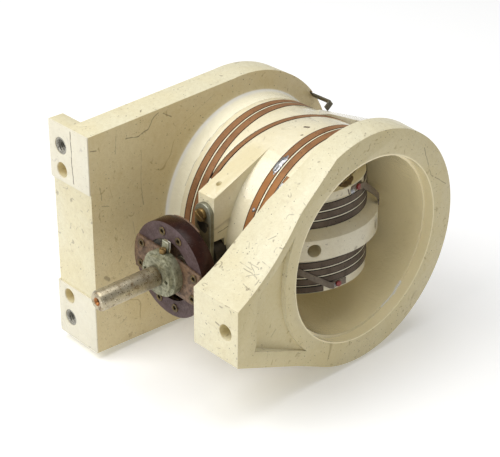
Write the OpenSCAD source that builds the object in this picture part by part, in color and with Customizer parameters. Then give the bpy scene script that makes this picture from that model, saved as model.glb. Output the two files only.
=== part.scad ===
// Ball variometer: a coil on a ceramic ball turns inside a coil on a ceramic barrel.
// Every module is drawn about the ball's centre: the barrel lies along X, the shaft along Y,
// the drive shaft points to -Y, and standing() lifts it all on to its base.

/* [Barrel] */
// Radius of the bore that the ball turns in
bore_r = 47; // [44:0.5:56]
// Thickness of the barrel's wall
barrel_wall = 5; // [4:0.25:7]
// Half length of the barrel casting, up to its joints with the end plates
barrel_half = 28; // [26:0.5:34]
// Width of the front rib that carries the front bearing
rib_w = 11; // [10:0.5:14]
// How far the ribs' faces stand out from the barrel
rib_rise = 7; // [6:0.25:9]
// Slope of the ribs' top and bottom faces, in degrees
rib_slope = 23.5; // [20:0.5:28]
// How far the rear rib stands out of the barrel where it starts
rear_rise = 1.3; // [0.5:0.1:3]

/* [Left plate] */
// Length of the flared neck between the barrel and the left plate
plate_neck = 10; // [8:0.5:12]
// Thickness of the left plate
plate_t = 15.5; // [10:0.5:20]
// How far the left plate's round end stands out from the barrel
plate_rim = 11.5; // [10:0.5:16]
// How far the left plate's opening is smaller than the bore, on the radius
plate_lip = 3; // [1:0.25:6]
// Distance of the lugs' front faces from the ball's centre
lug_face = 98; // [94:0.5:120]
// Height of the plate at its front edge
lug_height = 118; // [112:1:124]
// Height of each raised lug pad
lug_pad_h = 30; // [26:1:34]
// Width of the lugs, across the front
lug_w = 30; // [27:0.5:36]
// Thickness of the front flange
flange_t = 8.6; // [7:0.2:12]
// How far the lug pads stand proud
pad_rise = 0.9; // [0.4:0.1:1.5]
// Radius of the plain lug holes
lug_hole_r = 4; // [3:0.25:4.5]
// Radius of the threaded inserts
insert_r = 4.4; // [4:0.1:5]
// Radius of the thread in the inserts
insert_bore_r = 3.4; // [2:0.1:3.6]
// Distance of each insert from the end of its lug
insert_inset = 11.2; // [9:0.1:12]
// Distance of each plain hole from the end of its lug
lug_hole_inset = 23.9; // [22:0.1:26]
// Distance of the holes from the lugs' outer side
hole_margin = 9; // [7:0.5:11]

/* [Ring plate] */
// Length of the flared neck between the barrel and the ring
ring_neck = 8.5; // [7:0.5:11]
// Thickness of the ring
ring_t = 13; // [10:0.5:14]
// How far the ring stands out from the barrel
ring_rim = 9.5; // [9:0.5:13]
// How much wider the ring is at its inner face
ring_draft = 1; // [0:0.2:1.6]
// How much wider the ring's mouth is than the bore, on the radius
mouth_step = 1.2; // [0.4:0.1:2.5]
// Depth of the wider mouth
mouth_depth = 5.7; // [2:0.1:8]
// Distance of the ring block's front face from the ball's centre
block_face = 89; // [87:0.5:98]
// Width and height of the ring block
block_size = 29.6; // [26:0.2:30]
// How far the block's outer face stands beyond the ring's
block_rise = 5.4; // [4:0.2:12]
// Height of the block's top above the shaft axis
block_top = 5; // [0:0.5:12]
// Radius of the block's hole
block_hole_r = 4; // [3:0.25:5]
// Depth of the block's hole
block_hole_depth = 11; // [8:0.5:12]
// Depth of the pocket's floor below the ring's outer face
pocket_depth = 1.2; // [0.6:0.2:3]
// Width of the lip left around the pocket
pocket_lip = 4.5; // [3:0.5:7]

/* [Stator windings] */
// Width of the stator's copper ribbon
ribbon_w = 4.4; // [3.5:0.1:4.6]
// Thickness of the ribbon
ribbon_t = 0.7; // [0.4:0.1:1]
// Width of the ridge between two turns
ridge_w = 0.8; // [0.5:0.1:1.2]
// Distance from the barrel's end to the last turn
winding_inset = 3.2; // [2:0.1:4]

/* [Ball rotor] */
// Gap between the ball's belt and the bore
ball_gap = 5.5; // [5:0.25:8]
// Half height of the belt's outer face
belt_half = 5.3; // [4.5:0.1:6.5]
// How far the belt stands out from the winding seats
seat_step = 5.5; // [4.5:0.25:7]
// Height at which each winding starts above the middle
seat_start = 8.9; // [8.5:0.1:10]
// Width of the rotor's ribbon
rotor_ribbon_w = 3.8; // [3.4:0.1:4]
// Width of the ridges between the rotor's turns
rotor_ridge_w = 0.65; // [0.4:0.05:1]
// Height of each pole beyond its winding
pole_h = 4.6; // [4.4:0.1:6]
// Thickness of the ball's wall behind the windings
ball_wall = 5.5; // [4.5:0.25:8]
// Radius of the four holes in the belt
belt_hole_r = 3.4; // [2.5:0.1:4]
// Angle of the belt holes from the coil axis, in degrees
belt_hole_angle = 31.5; // [26:0.5:40]
// Tilt of the ball at rest, in degrees
ball_tilt = -3; // [-10:1:10]

/* [Shafts and bearings] */
// Radius of the rotor's shaft stubs
stub_r = 4; // [3:0.25:4.5]
// Running clearance of the shafts in their bushes, on the radius
running_gap = 0.05; // [0.02:0.01:0.1]
// Outside radius of the bushes
bush_r = 7; // [6:0.25:7.5]
// Radius of the drive shaft
drive_r = 5; // [4:0.25:6]
// How far the drive shaft reaches in front of the insulating ring
drive_reach = 42.1; // [30:0.1:60]
// Thickness of the bearing plates
bearing_plate_t = 2.5; // [2:0.1:3]
// Distance from a bearing plate's end to the edge of its rib
bearing_margin = 3.55; // [2:0.05:6]

/* [Coupling] */
// Outside radius of the insulating ring
coupling_r = 24.2; // [22:0.2:26]
// Width of the insulating ring's face, from its bore to its rim
coupling_band = 8.7; // [7.5:0.1:10]
// Thickness of the insulating ring
coupling_t = 8.7; // [6:0.1:10]
// Length of the rear hub, between the bearing and the rear leaf
rear_hub_l = 8.8; // [7.5:0.1:12]
// Thickness of the leaves
leaf_t = 1.2; // [0.8:0.1:1.6]
// Distance of the rivets from the insulating ring's rim
rivet_inset = 4.7; // [4:0.1:5]
// Turn of the coupling at rest, in degrees
coupling_turn = 5; // [-10:1:10]

/* [Hidden] */

$fn = 96;
eps = 0.01;

ceramic = "#e9e2c4";
copper = "#9a6242";
tinned = "#6b5f52";
brass = "#a8843c";
steel = "#8d8a80";
bakelite = "#4a2a22";
leaf_brown = "#7a5646";

// Shared radii
barrel_r = bore_r + barrel_wall;
rib_face = barrel_r + rib_rise;
plate_r = barrel_r + plate_rim;
plate_bore_r = bore_r - plate_lip;
ring_r = barrel_r + ring_rim;
ring_bore_r = bore_r + mouth_step;

// Left plate
plate_in = barrel_half + plate_neck;
plate_out = plate_in + plate_t;
lug_out = plate_in + lug_w;
half_h = lug_height / 2;
flange_front = lug_face - pad_rise;
flange_back = lug_face - flange_t;
hole_x = -(lug_out - hole_margin);
insert_pitch = lug_height - 2 * insert_inset;
lug_hole_pitch = lug_height - 2 * lug_hole_inset;
fillet_r = 5;

// Barrel
groove_r = barrel_r - ribbon_t - 0.1;
turn_pitch = ribbon_w + ridge_w;
winding_start = barrel_half - winding_inset - ribbon_w - turn_pitch;
turn_gap_angle = 8;
rear_face = rib_face;
rear_tangent_r = barrel_r + rear_rise;
counterbore_r = 10;
counterbore_floor = barrel_r + 0.5;

// Link ribbon and rim terminal
link_w = 3.4;
link_x = -2.3;
link_rear = 48;
link_sweep = 105;
link_reach = winding_start - link_w / 2 + link_x - 0.1;
link_slant = asin(link_reach / (groove_r * sin(link_sweep - link_rear)));
terminal_turn = 52;
terminal_seat_r = plate_r - 1.6;
terminal_strip_w = 3.6;
terminal_strip_t = 0.8;
terminal_strip_end = -plate_in + 14;
terminal_screw_x = [-plate_in - 11, -plate_in - 4];

// Ring plate
ring_in = barrel_half + ring_neck;
ring_out = ring_in + ring_t;
block_out = ring_out + block_rise;
block_in = max(block_out - block_size, coupling_r + 0.6);
block_bottom = block_top - block_size;
block_hole_x = block_out - hole_margin + 0.8;
block_hole_z = block_top - block_size / 2 + 0.5;
block_wall = 13;
web_foot = 16.5 - ring_r;
web_hip = -ring_r - 5.5;
web_flat = ring_r - 3.3;
web_angle = 42;
web_arc_r = 105;
web_n = [-sin(web_angle), cos(web_angle)];
web_u = [cos(web_angle), sin(web_angle)];
web_corner = [-block_face, block_top];
web_low_corner = [-block_face, block_bottom];
web_low = tangent_point(web_low_corner, ring_r, 1) * 0.998;
web_bend = web_n * web_flat - web_u * 12;
web_end = web_n * web_flat + web_u * sqrt(pow(ring_r, 2) - pow(web_flat, 2));
web_chord = norm(web_bend - web_corner);
web_across = [-(web_bend - web_corner)[1], (web_bend - web_corner)[0]] / web_chord;
web_centre = (web_corner + web_bend) / 2
    + web_across * sqrt(pow(web_arc_r, 2) - pow(web_chord / 2, 2));

// Ball
rotor_pitch = rotor_ribbon_w + rotor_ridge_w;

belt_r = bore_r - ball_gap;
seat_r = belt_r - seat_step;
ball_bore_r = seat_r - ball_wall;
seat_end = seat_start + 3 * rotor_ribbon_w + 2 * rotor_ridge_w;
ball_half = seat_end + pole_h;
ball_groove = ribbon_t;
pole_r = seat_r - 0.4;
terminal_angle = 12.5;
low_terminal_angle = -8;
terminal_w = 9;
terminal_h = 3.4;
terminal_d = 3;
terminal_rim = 0.8;
terminal_z = ball_half - terminal_rim - terminal_h / 2;
terminal_face = pole_r + 0.4;
spot_r = 8.3;
spot_y = sqrt(pow(belt_r, 2) - pow(spot_r, 2)) - 0.1;
inner_spot_y = ball_bore_r + 1;

// Shafts and bearings
flange_r = 8;
flange_thick = 2;
shoulder_r = 5.5;
thrust_gap = 0.3;
bush_inner = bore_r - 1;
rib_half_h = barrel_r * cos(rib_slope) - tan(rib_slope) * (rib_face - barrel_r * sin(rib_slope));
bearing_plate_l = 2 * (rib_half_h - bearing_margin);
screw_z = bearing_plate_l / 2 - rib_w / 2;
screw_r = 1.75;
screw_head_r = 3.2;
screw_head_h = 1.9;
screw_l = 10;
spring_t = 0.5;
spring_reach = 2;
spring_w = 5;
front_plate_front = rib_face + bearing_plate_t;
rear_plate_back = rear_face + bearing_plate_t;

// Coupling
rear_hub_back = front_plate_front + 2.2;
rear_leaf_back = rear_hub_back + rear_hub_l;
ring_back = rear_leaf_back + leaf_t;
coupling_face = ring_back + coupling_t;
front_leaf_front = coupling_face + leaf_t;
coupling_bore_r = coupling_r - coupling_band;
rivet_circle_r = coupling_r - rivet_inset;
drive_end = coupling_face + drive_reach;
rear_hub_r = 9.5;
hub_flange_r = 11.4;
hub_collar_r = 9.6;
hub_flange_t = 4.4;
hub_collar_t = 2.4;
hub_front = front_leaf_front + hub_flange_t + hub_collar_t;
hub_flat = hub_flange_r - 0.5;
rivet_spread = 17;
eyelet_r = 2.1;
leaf_end_half_w = rivet_circle_r * sin(rivet_spread) + eyelet_r + 1;
leaf_half_w = leaf_end_half_w + 0.8;
eyelet_bore_r = 1.1;
eyelet_shank_r = 1.6;
eyelet_head = 0.5;
drive_inner = coupling_face - 2;
spigot_r = drive_r - 0.5;
shoulder_gap = 0.4;

// The whole part stands on its base with its box centred on Z
standing_shift = [
    (lug_out - block_out) / 2,
    (drive_end - max(plate_r, rear_plate_back + spring_reach)) / 2,
    max(plate_r, ring_r + ring_draft)
];

module standing() {
    translate(standing_shift) children();
}

// Carries a shape drawn in Y and Z along X, from x0 to x1
module along_x(x0, x1) {
    translate([x0, 0, 0]) rotate([90, 0, 90]) linear_extrude(x1 - x0) children();
}

// Carries a shape drawn in X and Z along Y, from y0 to y1
module along_y(y0, y1) {
    translate([0, y1, 0]) rotate([90, 0, 0]) linear_extrude(y1 - y0) children();
}

// Turns a profile of radius and X about the barrel's axis
module about_x(angle = 360) {
    rotate([0, 90, 0]) rotate_extrude(angle = angle) children();
}

// A round bar along X
module bar_x(r, x0, x1) {
    translate([x0, 0, 0]) rotate([0, 90, 0]) cylinder(r = r, h = x1 - x0);
}

// A round bar along Y
module bar_y(r, y0, y1) {
    translate([0, y1, 0]) rotate([90, 0, 0]) cylinder(r = r, h = y1 - y0);
}

// The points where a tangent from p touches a circle of radius r, side is 1 or -1
function tangent_point(p, r, side) =
    let (d = norm(p), a = atan2(p[1], p[0]) + side * acos(r / d))
    [r * cos(a), r * sin(a)];

// The outline of the left plate: a flat front edge with a tangent to each side of the round end
module left_outline(front) {
    top = tangent_point([-lug_face, half_h], plate_r, -1) * 0.998;
    low = tangent_point([-lug_face, -half_h], plate_r, 1) * 0.998;
    slope = (top[1] - half_h) / (top[0] + lug_face);
    drop = slope * (lug_face - front);
    circle(r = plate_r);
    polygon([
        [-front, half_h + drop], top, [0, 0], low, [-front, -half_h - drop]
    ]);
}

// A hub around the bore with a concave fillet against a plate, drawn towards -X from the plate
module hub_profile(length) {
    rise = fillet_r;
    polygon(concat(
        [[bore_r, 0], [barrel_r, 0]],
        [[barrel_r, length - rise]],
        [for (a = [15 : 15 : 90]) [barrel_r + rise * (1 - cos(a)), length - rise + rise * sin(a)]],
        [[bore_r, length]]
    ));
}

module left_end_plate() {
    color(ceramic) standing() difference() {
        union() {
            along_x(-plate_out, -plate_in) left_outline(flange_front);
            translate([-lug_out + pad_rise, -flange_front, -half_h + pad_rise])
                cube([lug_w - pad_rise, flange_front - flange_back, lug_height - 2 * pad_rise]);
            for (side = [-1, 1])
                translate([-lug_out, -lug_face, side * (half_h - lug_pad_h / 2) - lug_pad_h / 2])
                    cube([lug_w, flange_t, lug_pad_h]);
            translate([-plate_in, 0, 0]) mirror([1, 0, 0]) hub_back();
        }
        bar_x(bore_r, -plate_in, 0);
        bar_x(plate_bore_r, -plate_out - 1, 0);
        for (side = [-1, 1]) {
            translate([hole_x, 0, side * lug_hole_pitch / 2])
                bar_y(lug_hole_r, -lug_face - 1, -flange_back + 1);
            translate([hole_x, 0, side * insert_pitch / 2])
                bar_y(insert_r, -lug_face - 1, -flange_back + 1);
        }
        terminal_seat();
    }
}

// The hub of the left plate, drawn from the plate's face along -X before it is mirrored
module hub_back() {
    mirror([1, 0, 0]) rotate([0, 90, 0]) rotate_extrude() hub_turned(plate_in - barrel_half);
}

// The hub's profile with its wide end at height 0
module hub_turned(length) {
    translate([0, length]) mirror([0, 1]) hub_profile(length);
}

// A rib whose sloping top and bottom faces keep a distance r from the barrel's axis
module rib_outline(r, face, start) {
    touch = [r * sin(rib_slope), r * cos(rib_slope)];
    end_h = touch[1] - tan(rib_slope) * (face - touch[0]);
    root_r = min(r, barrel_r - 0.05);
    root_h = sqrt(root_r * root_r - start * start);
    polygon([
        [-face, end_h], [-touch[0], touch[1]], [-start, root_h], [0, 0],
        [-start, -root_h], [-touch[0], -touch[1]], [-face, -end_h]
    ]);
}

module winding_grooves(side) {
    for (turn = [0, 1]) {
        x0 = winding_start + turn * turn_pitch;
        rotate([0, side > 0 ? 0 : 180, 0])
            difference() {
                bar_x(barrel_r + 1, x0, x0 + ribbon_w);
                bar_x(groove_r, x0 - 1, x0 + ribbon_w + 1);
            }
    }
}

module stator_barrel() {
    color(ceramic) standing() difference() {
        union() {
            bar_x(barrel_r, -barrel_half, barrel_half);
            along_x(-rib_w / 2, rib_w / 2) rib_outline(barrel_r - 0.05, rib_face, 18);
            difference() {
                along_x(-rib_w / 2, rib_w / 2)
                    mirror([1, 0]) rib_outline(rear_tangent_r, rear_face, 14);
                link_way();
            }
        }
        bar_x(bore_r, -barrel_half - 1, barrel_half + 1);
        for (side = [-1, 1]) winding_grooves(side);
        bar_y(bush_r, -rib_face - 1, rear_face + 1);
        bar_y(counterbore_r, -rib_face - 1, -counterbore_floor);
        for (side = [-1, 1]) {
            translate([0, 0, side * screw_z]) {
                bar_y(screw_r, -rib_face - 1, -rib_face + screw_l - bearing_plate_t);
                bar_y(screw_r, rear_face - screw_l + bearing_plate_t, rear_face + 1);
            }
        }
        rib_top_hole();
        link_band(8);
    }
}

// The small blind hole in the front rib's sloping top
module rib_top_hole() {
    y = -rib_face + 8;
    translate([0, y, rib_top(y) - 4]) cylinder(r = 1.4, h = 10);
}

// Height of the front rib's top at a distance in front of the ball's centre
function rib_top(y) =
    let (r = barrel_r, touch = r * sin(rib_slope))
    -y < touch ? sqrt(r * r - y * y) : r * cos(rib_slope) - tan(rib_slope) * (-y - touch);

// The ring's outline seen along X, with its block and its straight lower edge
module ring_outline() {
    circle(r = ring_r);
    polygon([web_corner, web_bend, web_end, [0, 0], web_low, web_low_corner]);
}

// What the web's dipped top edge leaves out: a hollow by the block, then a flat up to the ring
module web_dip() {
    translate(web_n * web_flat) rotate(web_angle) translate([-12, 0]) square([72, 30]);
    translate(web_centre) circle(r = web_arc_r, $fn = 360);
}

// The plan of the ring plate seen from above: a wide block that narrows to the ring
module ring_plan() {
    bend = [for (t = [0 : 0.125 : 1])
        [block_in + (ring_in - block_in) * (1 - cos(180 * t)) / 2, web_hip - (web_hip + 15) * t]];
    polygon(concat(
        [[block_in, -block_face], [block_out, -block_face], [ring_out, web_foot]],
        [[ring_out, ring_r + 1], [ring_in, ring_r + 1]],
        [for (i = [len(bend) - 1 : -1 : 0]) bend[i]]
    ));
}

// The pocket in the web, between the block, the two lips and the ring's lip
module pocket_outline() {
    front = web_corner[0] + block_wall;
    run = (web_low - web_low_corner) / norm(web_low - web_low_corner);
    inward = [-run[1], run[0]] * (pocket_lip + 3.3);
    difference() {
        polygon([
            [front, block_top + 14], web_bend + [-2, -3], [-20, 20], [-20, -30],
            web_low + inward - run * 6, web_low_corner + inward + run * 9, [front, block_bottom + 6]
        ]);
        translate(web_centre) circle(r = web_arc_r + pocket_lip, $fn = 360);
        circle(r = ring_bore_r + 8);
    }
}

module ring_plate() {
    color(ceramic) standing() difference() {
        union() {
            intersection() {
                along_x(block_in - 1, block_out + 1) ring_outline();
                translate([0, 0, -ring_r - 1]) linear_extrude(2 * ring_r + 2) ring_plan();
            }
            translate([ring_in, 0, 0]) rotate([0, 90, 0])
                cylinder(r1 = ring_r + ring_draft, r2 = ring_r, h = ring_t);
            translate([ring_in, 0, 0]) rotate([0, -90, 0]) rotate_extrude()
                hub_turned(ring_in - barrel_half);
        }
        along_x(block_in - 1, block_out + 1) web_dip();
        bar_x(barrel_r, 0, barrel_half);
        bar_x(bore_r, 0, ring_out + 1);
        bar_x(ring_bore_r, ring_out - mouth_depth, ring_out + 1);
        translate([block_hole_x, 0, block_hole_z])
            bar_y(block_hole_r, -block_face - 1, -block_face + block_hole_depth);
        along_x(ring_out - pocket_depth, block_out + 1) pocket_outline();
    }
}

module lug_inserts() {
    color(steel) standing() for (side = [-1, 1])
        translate([hole_x, 0, side * insert_pitch / 2]) difference() {
            bar_y(insert_r, -lug_face + 0.4, -flange_back);
            bar_y(insert_bore_r, -lug_face, -flange_back + 1);
        }
}

// One turn of ribbon in its groove, with a gap where the winding steps to the next turn
module stator_turn(x0) {
    translate([x0, 0, 0]) rotate([turn_gap_angle / 2, 0, 0]) rotate([0, 90, 0])
        rotate_extrude(angle = 360 - turn_gap_angle)
            translate([groove_r, 0]) square([ribbon_t, ribbon_w]);
}

module stator_winding(side) {
    for (turn = [0, 1]) {
        x0 = winding_start + turn * turn_pitch;
        stator_turn(side > 0 ? x0 : -x0 - ribbon_w);
    }
}

module left_stator_winding() {
    color(copper) standing() stator_winding(-1);
}

module right_stator_winding() {
    color(copper) standing() stator_winding(1);
}

// The slot that the link ribbon crosses the barrel in, slanting over the top towards the rear
module link_band(depth) {
    translate([link_x - link_w / 2, 0, 0]) rotate([0, 0, -link_slant])
        rotate([-link_rear, 0, 0]) rotate([0, 90, 0]) rotate([0, 0, 180])
            rotate_extrude(angle = link_sweep)
                translate([groove_r, 0]) square([depth, link_w]);
}

// What the rear rib leaves out on the link ribbon's right, so that the ribbon passes beside it
module link_way() {
    translate([link_x - link_w / 2, 0, 0]) rotate([0, 0, -link_slant])
        rotate([-link_rear, 0, 0]) rotate([0, 90, 0]) rotate([0, 0, 180])
            rotate_extrude(angle = link_rear)
                translate([groove_r - 6, 0]) square([16, link_w + rib_w + 6]);
}

module stator_link_ribbon() {
    color(copper) standing() link_band(ribbon_t);
}

module stator_solder_joints() {
    color("silver") standing() for (a = [32, 42])
        rotate([a, 0, 0]) translate([winding_start + ribbon_w / 2, 0, groove_r + ribbon_t])
            cylinder(r = 1.8, h = 0.5);
}

module terminal_seat() {
    rotate([-terminal_turn, 0, 0]) {
        translate([-plate_out - 1, -terminal_strip_w / 2 - 1.2, terminal_seat_r])
            cube([plate_t + 2, terminal_strip_w + 2.4, 6]);
        for (x = terminal_screw_x)
            translate([x, 0, terminal_seat_r - 7]) cylinder(r = 1.3, h = 8);
    }
}

module terminal_strip() {
    color(steel) standing() rotate([-terminal_turn, 0, 0]) difference() {
        union() {
            translate([-plate_out + 1.5, -terminal_strip_w / 2, terminal_seat_r])
                cube([terminal_strip_end + plate_out - 1.5, terminal_strip_w, terminal_strip_t]);
            translate([terminal_strip_end - terminal_strip_t, -terminal_strip_w / 2, terminal_seat_r - 4])
                cube([terminal_strip_t, terminal_strip_w, 4 + terminal_strip_t]);
        }
        for (x = terminal_screw_x)
            translate([x, 0, terminal_seat_r - 1]) cylinder(r = 1.4, h = 3);
    }
}

module terminal_screws() {
    color(brass) standing() rotate([-terminal_turn, 0, 0]) for (x = terminal_screw_x)
        translate([x, 0, 0]) difference() {
            union() {
                translate([0, 0, terminal_seat_r - 6]) cylinder(r = 1.3, h = 7);
                translate([0, 0, terminal_seat_r + terminal_strip_t]) cylinder(r = 2.3, h = 1.6);
            }
            translate([-3, -0.35, terminal_seat_r + terminal_strip_t + 1]) cube([6, 0.7, 2]);
        }
}

module stadium(w, l) {
    square([w, l - w], center = true);
    for (side = [-1, 1]) translate([0, side * (l - w) / 2]) circle(r = w / 2);
}

// A bearing plate between two distances along Y, with its bush hole and two screw holes
module bearing_plate(y0, y1) {
    difference() {
        along_y(y0, y1) stadium(rib_w, bearing_plate_l);
        bar_y(stub_r + 0.6, y0 - 1, y1 + 1);
        for (side = [-1, 1]) translate([0, 0, side * screw_z])
            bar_y(screw_r + 0.1, y0 - 1, y1 + 1);
    }
}

module front_bearing_plate() {
    color(steel) standing() bearing_plate(-front_plate_front, -rib_face);
}

module rear_bearing_plate() {
    color(steel) standing() bearing_plate(rear_face, rear_plate_back);
}

module front_bush() {
    color(brass) standing() difference() {
        bar_y(bush_r, -rib_face, -bush_inner);
        bar_y(stub_r + running_gap, -rib_face - 1, -bush_inner + 1);
    }
}

module rear_bush() {
    color(brass) standing() difference() {
        bar_y(bush_r, bush_inner, rear_face);
        bar_y(stub_r + running_gap, bush_inner - 1, rear_face + 1);
    }
}

// A slotted screw along -Y with the underside of its head at y
module slotted_screw(y, under) {
    difference() {
        union() {
            bar_y(screw_r, y, y + screw_l);
            bar_y(screw_head_r, y - screw_head_h, y - under);
        }
        translate([-4, y - screw_head_h - 1, -0.4]) cube([8, 2, 0.8]);
    }
}

module front_plate_screws() {
    color(brass) standing() for (side = [-1, 1])
        translate([0, -front_plate_front, side * screw_z]) rotate([0, 30, 0]) slotted_screw(0, side > 0 ? 0 : 0.5);
}

module rear_plate_screws() {
    color(brass) standing() for (side = [-1, 1])
        translate([0, rear_plate_back, side * screw_z]) rotate([180, 20, 0]) slotted_screw(0, side > 0 ? 0 : 0.5);
}

// A thin leaf held under the lower bearing screw, whose free end bears on the shaft
module contact_spring() {
    difference() {
        union() {
            translate([-spring_w / 2, -spring_t, -screw_z - 3]) cube([spring_w, spring_t, screw_z - stub_r - 1]);
            translate([-spring_w / 2, -spring_reach, -stub_r - 4 - spring_t])
                cube([spring_w, spring_reach, spring_t]);
            translate([-spring_w / 2, -spring_reach, -stub_r - 4])
                cube([spring_w, spring_t, 4 - running_gap - 0.1]);
        }
        translate([0, 0, -screw_z]) bar_y(screw_r + 0.1, -2, 1);
    }
}

module front_contact_spring() {
    color(brass) standing() translate([0, -front_plate_front, 0]) contact_spring();
}

module rear_contact_spring() {
    color(brass) standing() translate([0, rear_plate_back, 0]) rotate([0, 0, 180]) contact_spring();
}

// Everything on the ball is drawn about Z and then tilted about the shaft
module tilted() {
    rotate([0, ball_tilt, 0]) children();
}

// Half of the ball's profile, from the middle up
function shell_half() = [
    [belt_r, belt_half],
    [seat_r, seat_start],
    [seat_r, seat_end],
    [pole_r, seat_end + 0.6],
    [pole_r, ball_half],
    [ball_bore_r, ball_half]
];

function flip(points) = [for (i = [len(points) - 1 : -1 : 0]) [points[i][0], -points[i][1]]];

module turn_grooves() {
    for (side = [0, 180]) rotate([side, 0, 0]) for (turn = [0 : 2])
        translate([0, 0, seat_start + turn * rotor_pitch]) difference() {
            cylinder(r = seat_r + 1, h = rotor_ribbon_w);
            translate([0, 0, -1]) cylinder(r = seat_r - ball_groove, h = rotor_ribbon_w + 2);
        }
}

module ball_shell() {
    color(ceramic) standing() tilted() difference() {
        rotate_extrude() polygon(concat(shell_half(), flip(shell_half())));
        turn_grooves();
        for (a = [belt_hole_angle, 180 - belt_hole_angle, 180 + belt_hole_angle, -belt_hole_angle])
            rotate([0, 0, a]) bar_x(belt_hole_r, 20, belt_r + 1);
        bar_y(stub_r, -belt_r - 1, belt_r + 1);
        for (side = [0, 180]) rotate([0, 0, side]) {
            bar_y(spot_r, -belt_r - 1, -spot_y);
            bar_y(spot_r, -inner_spot_y, 0);
        }
        ball_terminal_notch(terminal_angle, 1);
        ball_terminal_notch(low_terminal_angle, -1);
    }
}

// The notch that a terminal block sits in, on the outside of a pole ring
module ball_terminal_notch(angle, side) {
    rotate([0, 0, angle])
        translate([pole_r - terminal_d, -terminal_w / 2, side * terminal_z - terminal_h / 2])
            cube([terminal_d + 3, terminal_w, terminal_h]);
}

// One turn of the ball's ribbon, with a gap where it steps to the next turn
module ball_turn(z0) {
    translate([0, 0, z0]) rotate([0, 0, 90 + turn_gap_angle / 2])
        rotate_extrude(angle = 360 - turn_gap_angle)
            translate([seat_r - ball_groove, 0]) square([ribbon_t, rotor_ribbon_w]);
}

module upper_ball_winding() {
    color(tinned) standing() tilted() for (turn = [0 : 2])
        ball_turn(seat_start + turn * rotor_pitch);
}

module lower_ball_winding() {
    color(tinned) standing() tilted() for (turn = [0 : 2])
        ball_turn(-seat_start - turn * rotor_pitch - rotor_ribbon_w);
}

// How far a terminal's screw sits from the middle of its block
function screw_side(side) = side > 0 ? 0.8 : -0.6;

// A thin upright strip at an angle about the ball's axis, the stations that a ribbon is hulled over
module ribbon_station(angle, r, low, w) {
    rotate([0, 0, angle]) translate([r, -0.3, low]) cube([0.5, 0.6, w]);
}

// The end of a ribbon, lying on the outer face of a terminal block
module ribbon_foot(angle, y, low, w) {
    rotate([0, 0, angle]) translate([terminal_face, y, low]) cube([0.5, 1.2, w]);
}

// The ribbon that runs slantwise over the lower winding to its terminal
module ball_link_ribbon() {
    w = 3.2;
    low = -terminal_z - terminal_h / 2 + 0.1;
    angles = [-17, -29, -42];
    color(tinned) standing() tilted() difference() {
        union() {
            hull() {
                ribbon_foot(low_terminal_angle, -terminal_w / 2 + 0.2, low, w);
                ribbon_station(angles[0], seat_r + 0.4, low + 0.6, w);
            }
            for (i = [0 : 1]) hull() for (k = [i, i + 1])
                ribbon_station(angles[k], seat_r + 0.4, low + 0.6 + 5 * k, w);
        }
        terminal_clear(low_terminal_angle);
    }
}

// Everything behind the flat outer face of a terminal block
module terminal_clear(angle) {
    rotate([0, 0, angle]) translate([terminal_face - 10, -terminal_w / 2, -ball_half - 1])
        cube([10, terminal_w, 2 * ball_half + 2]);
}

// The ribbon that stands off the ball and leads from the upper terminal down to the belt
module ball_lead_strap() {
    w = 3;
    low = terminal_z - terminal_h / 2 + 0.2;
    color(tinned) standing() tilted() difference() {
        union() {
            hull() {
                ribbon_foot(terminal_angle, terminal_w / 2 - 1.4, low, w);
                ribbon_station(terminal_angle + 9, terminal_face + 0.4, low - 0.6, w);
            }
            hull() {
                ribbon_station(terminal_angle + 9, terminal_face + 0.4, low - 0.6, w);
                ribbon_station(45, belt_r + 0.3, belt_half + 1.2, w);
            }
            rotate([0, 0, 45]) translate([belt_r + 0.3, -0.3, belt_half - 2]) cube([0.5, 3, 6.2]);
        }
        terminal_clear(terminal_angle);
    }
}

module ball_terminal_blocks() {
    color(tinned) standing() tilted() for (side = [1, -1])
        rotate([0, 0, side > 0 ? terminal_angle : low_terminal_angle])
            translate([pole_r - terminal_d, -terminal_w / 2, side * terminal_z - terminal_h / 2])
                difference() {
                    cube([terminal_face - pole_r + terminal_d, terminal_w, terminal_h]);
                    translate([0, terminal_w / 2 + screw_side(side), terminal_h / 2]) bar_x(0.8, 0.6, 9);
                }
}

module ball_terminal_screws() {
    color("#b0302c") standing() tilted() for (side = [1, -1])
        rotate([0, 0, side > 0 ? terminal_angle : low_terminal_angle])
            translate([terminal_face, screw_side(side), side * terminal_z]) {
                bar_x(1.5, 0, 1);
                bar_x(0.8, -2.4, 0);
            }
}

// A shaft stub with a flange seated on the belt and a shoulder that bears on the bush
module shaft_stub(end) {
    bar_y(stub_r, -end, -inner_spot_y + 5);
    bar_y(flange_r, -spot_y - flange_thick, -spot_y);
    bar_y(shoulder_r, -bush_inner + thrust_gap, -spot_y);
}

module front_shaft_stub() {
    color(steel) standing() shaft_stub(ring_back + 0.8);
}

module rear_shaft_stub() {
    color(steel) standing() rotate([0, 0, 180]) shaft_stub(rear_plate_back + 1.4);
}

module stub_nuts() {
    color(brass) standing() for (side = [0, 180]) rotate([0, 0, side]) difference() {
        translate([0, -inner_spot_y + 3.5, 0]) rotate([90, 0, 0]) cylinder(r = 7.5, h = 3.5, $fn = 6);
        bar_y(stub_r, -inner_spot_y - 1, -inner_spot_y + 5);
    }
}

// Everything on the coupling is drawn upright and then turned about the shaft
module coupled() {
    rotate([0, coupling_turn, 0]) children();
}

module rear_hub() {
    color(steel) standing() coupled() difference() {
        bar_y(rear_hub_r, -rear_leaf_back, -rear_hub_back);
        bar_y(stub_r, -rear_leaf_back - 1, -rear_hub_back + 1);
        translate([0, -rear_hub_back - 4.2, 0]) cylinder(r = 1.5, h = 20);
    }
}

module rear_hub_set_screw() {
    color(brass) standing() coupled() translate([0, -rear_hub_back - 4.2, stub_r]) difference() {
        cylinder(r = 1.5, h = rear_hub_r - stub_r + 1);
        translate([-3, -0.3, rear_hub_r - stub_r]) cube([6, 0.6, 2]);
    }
}

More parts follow.
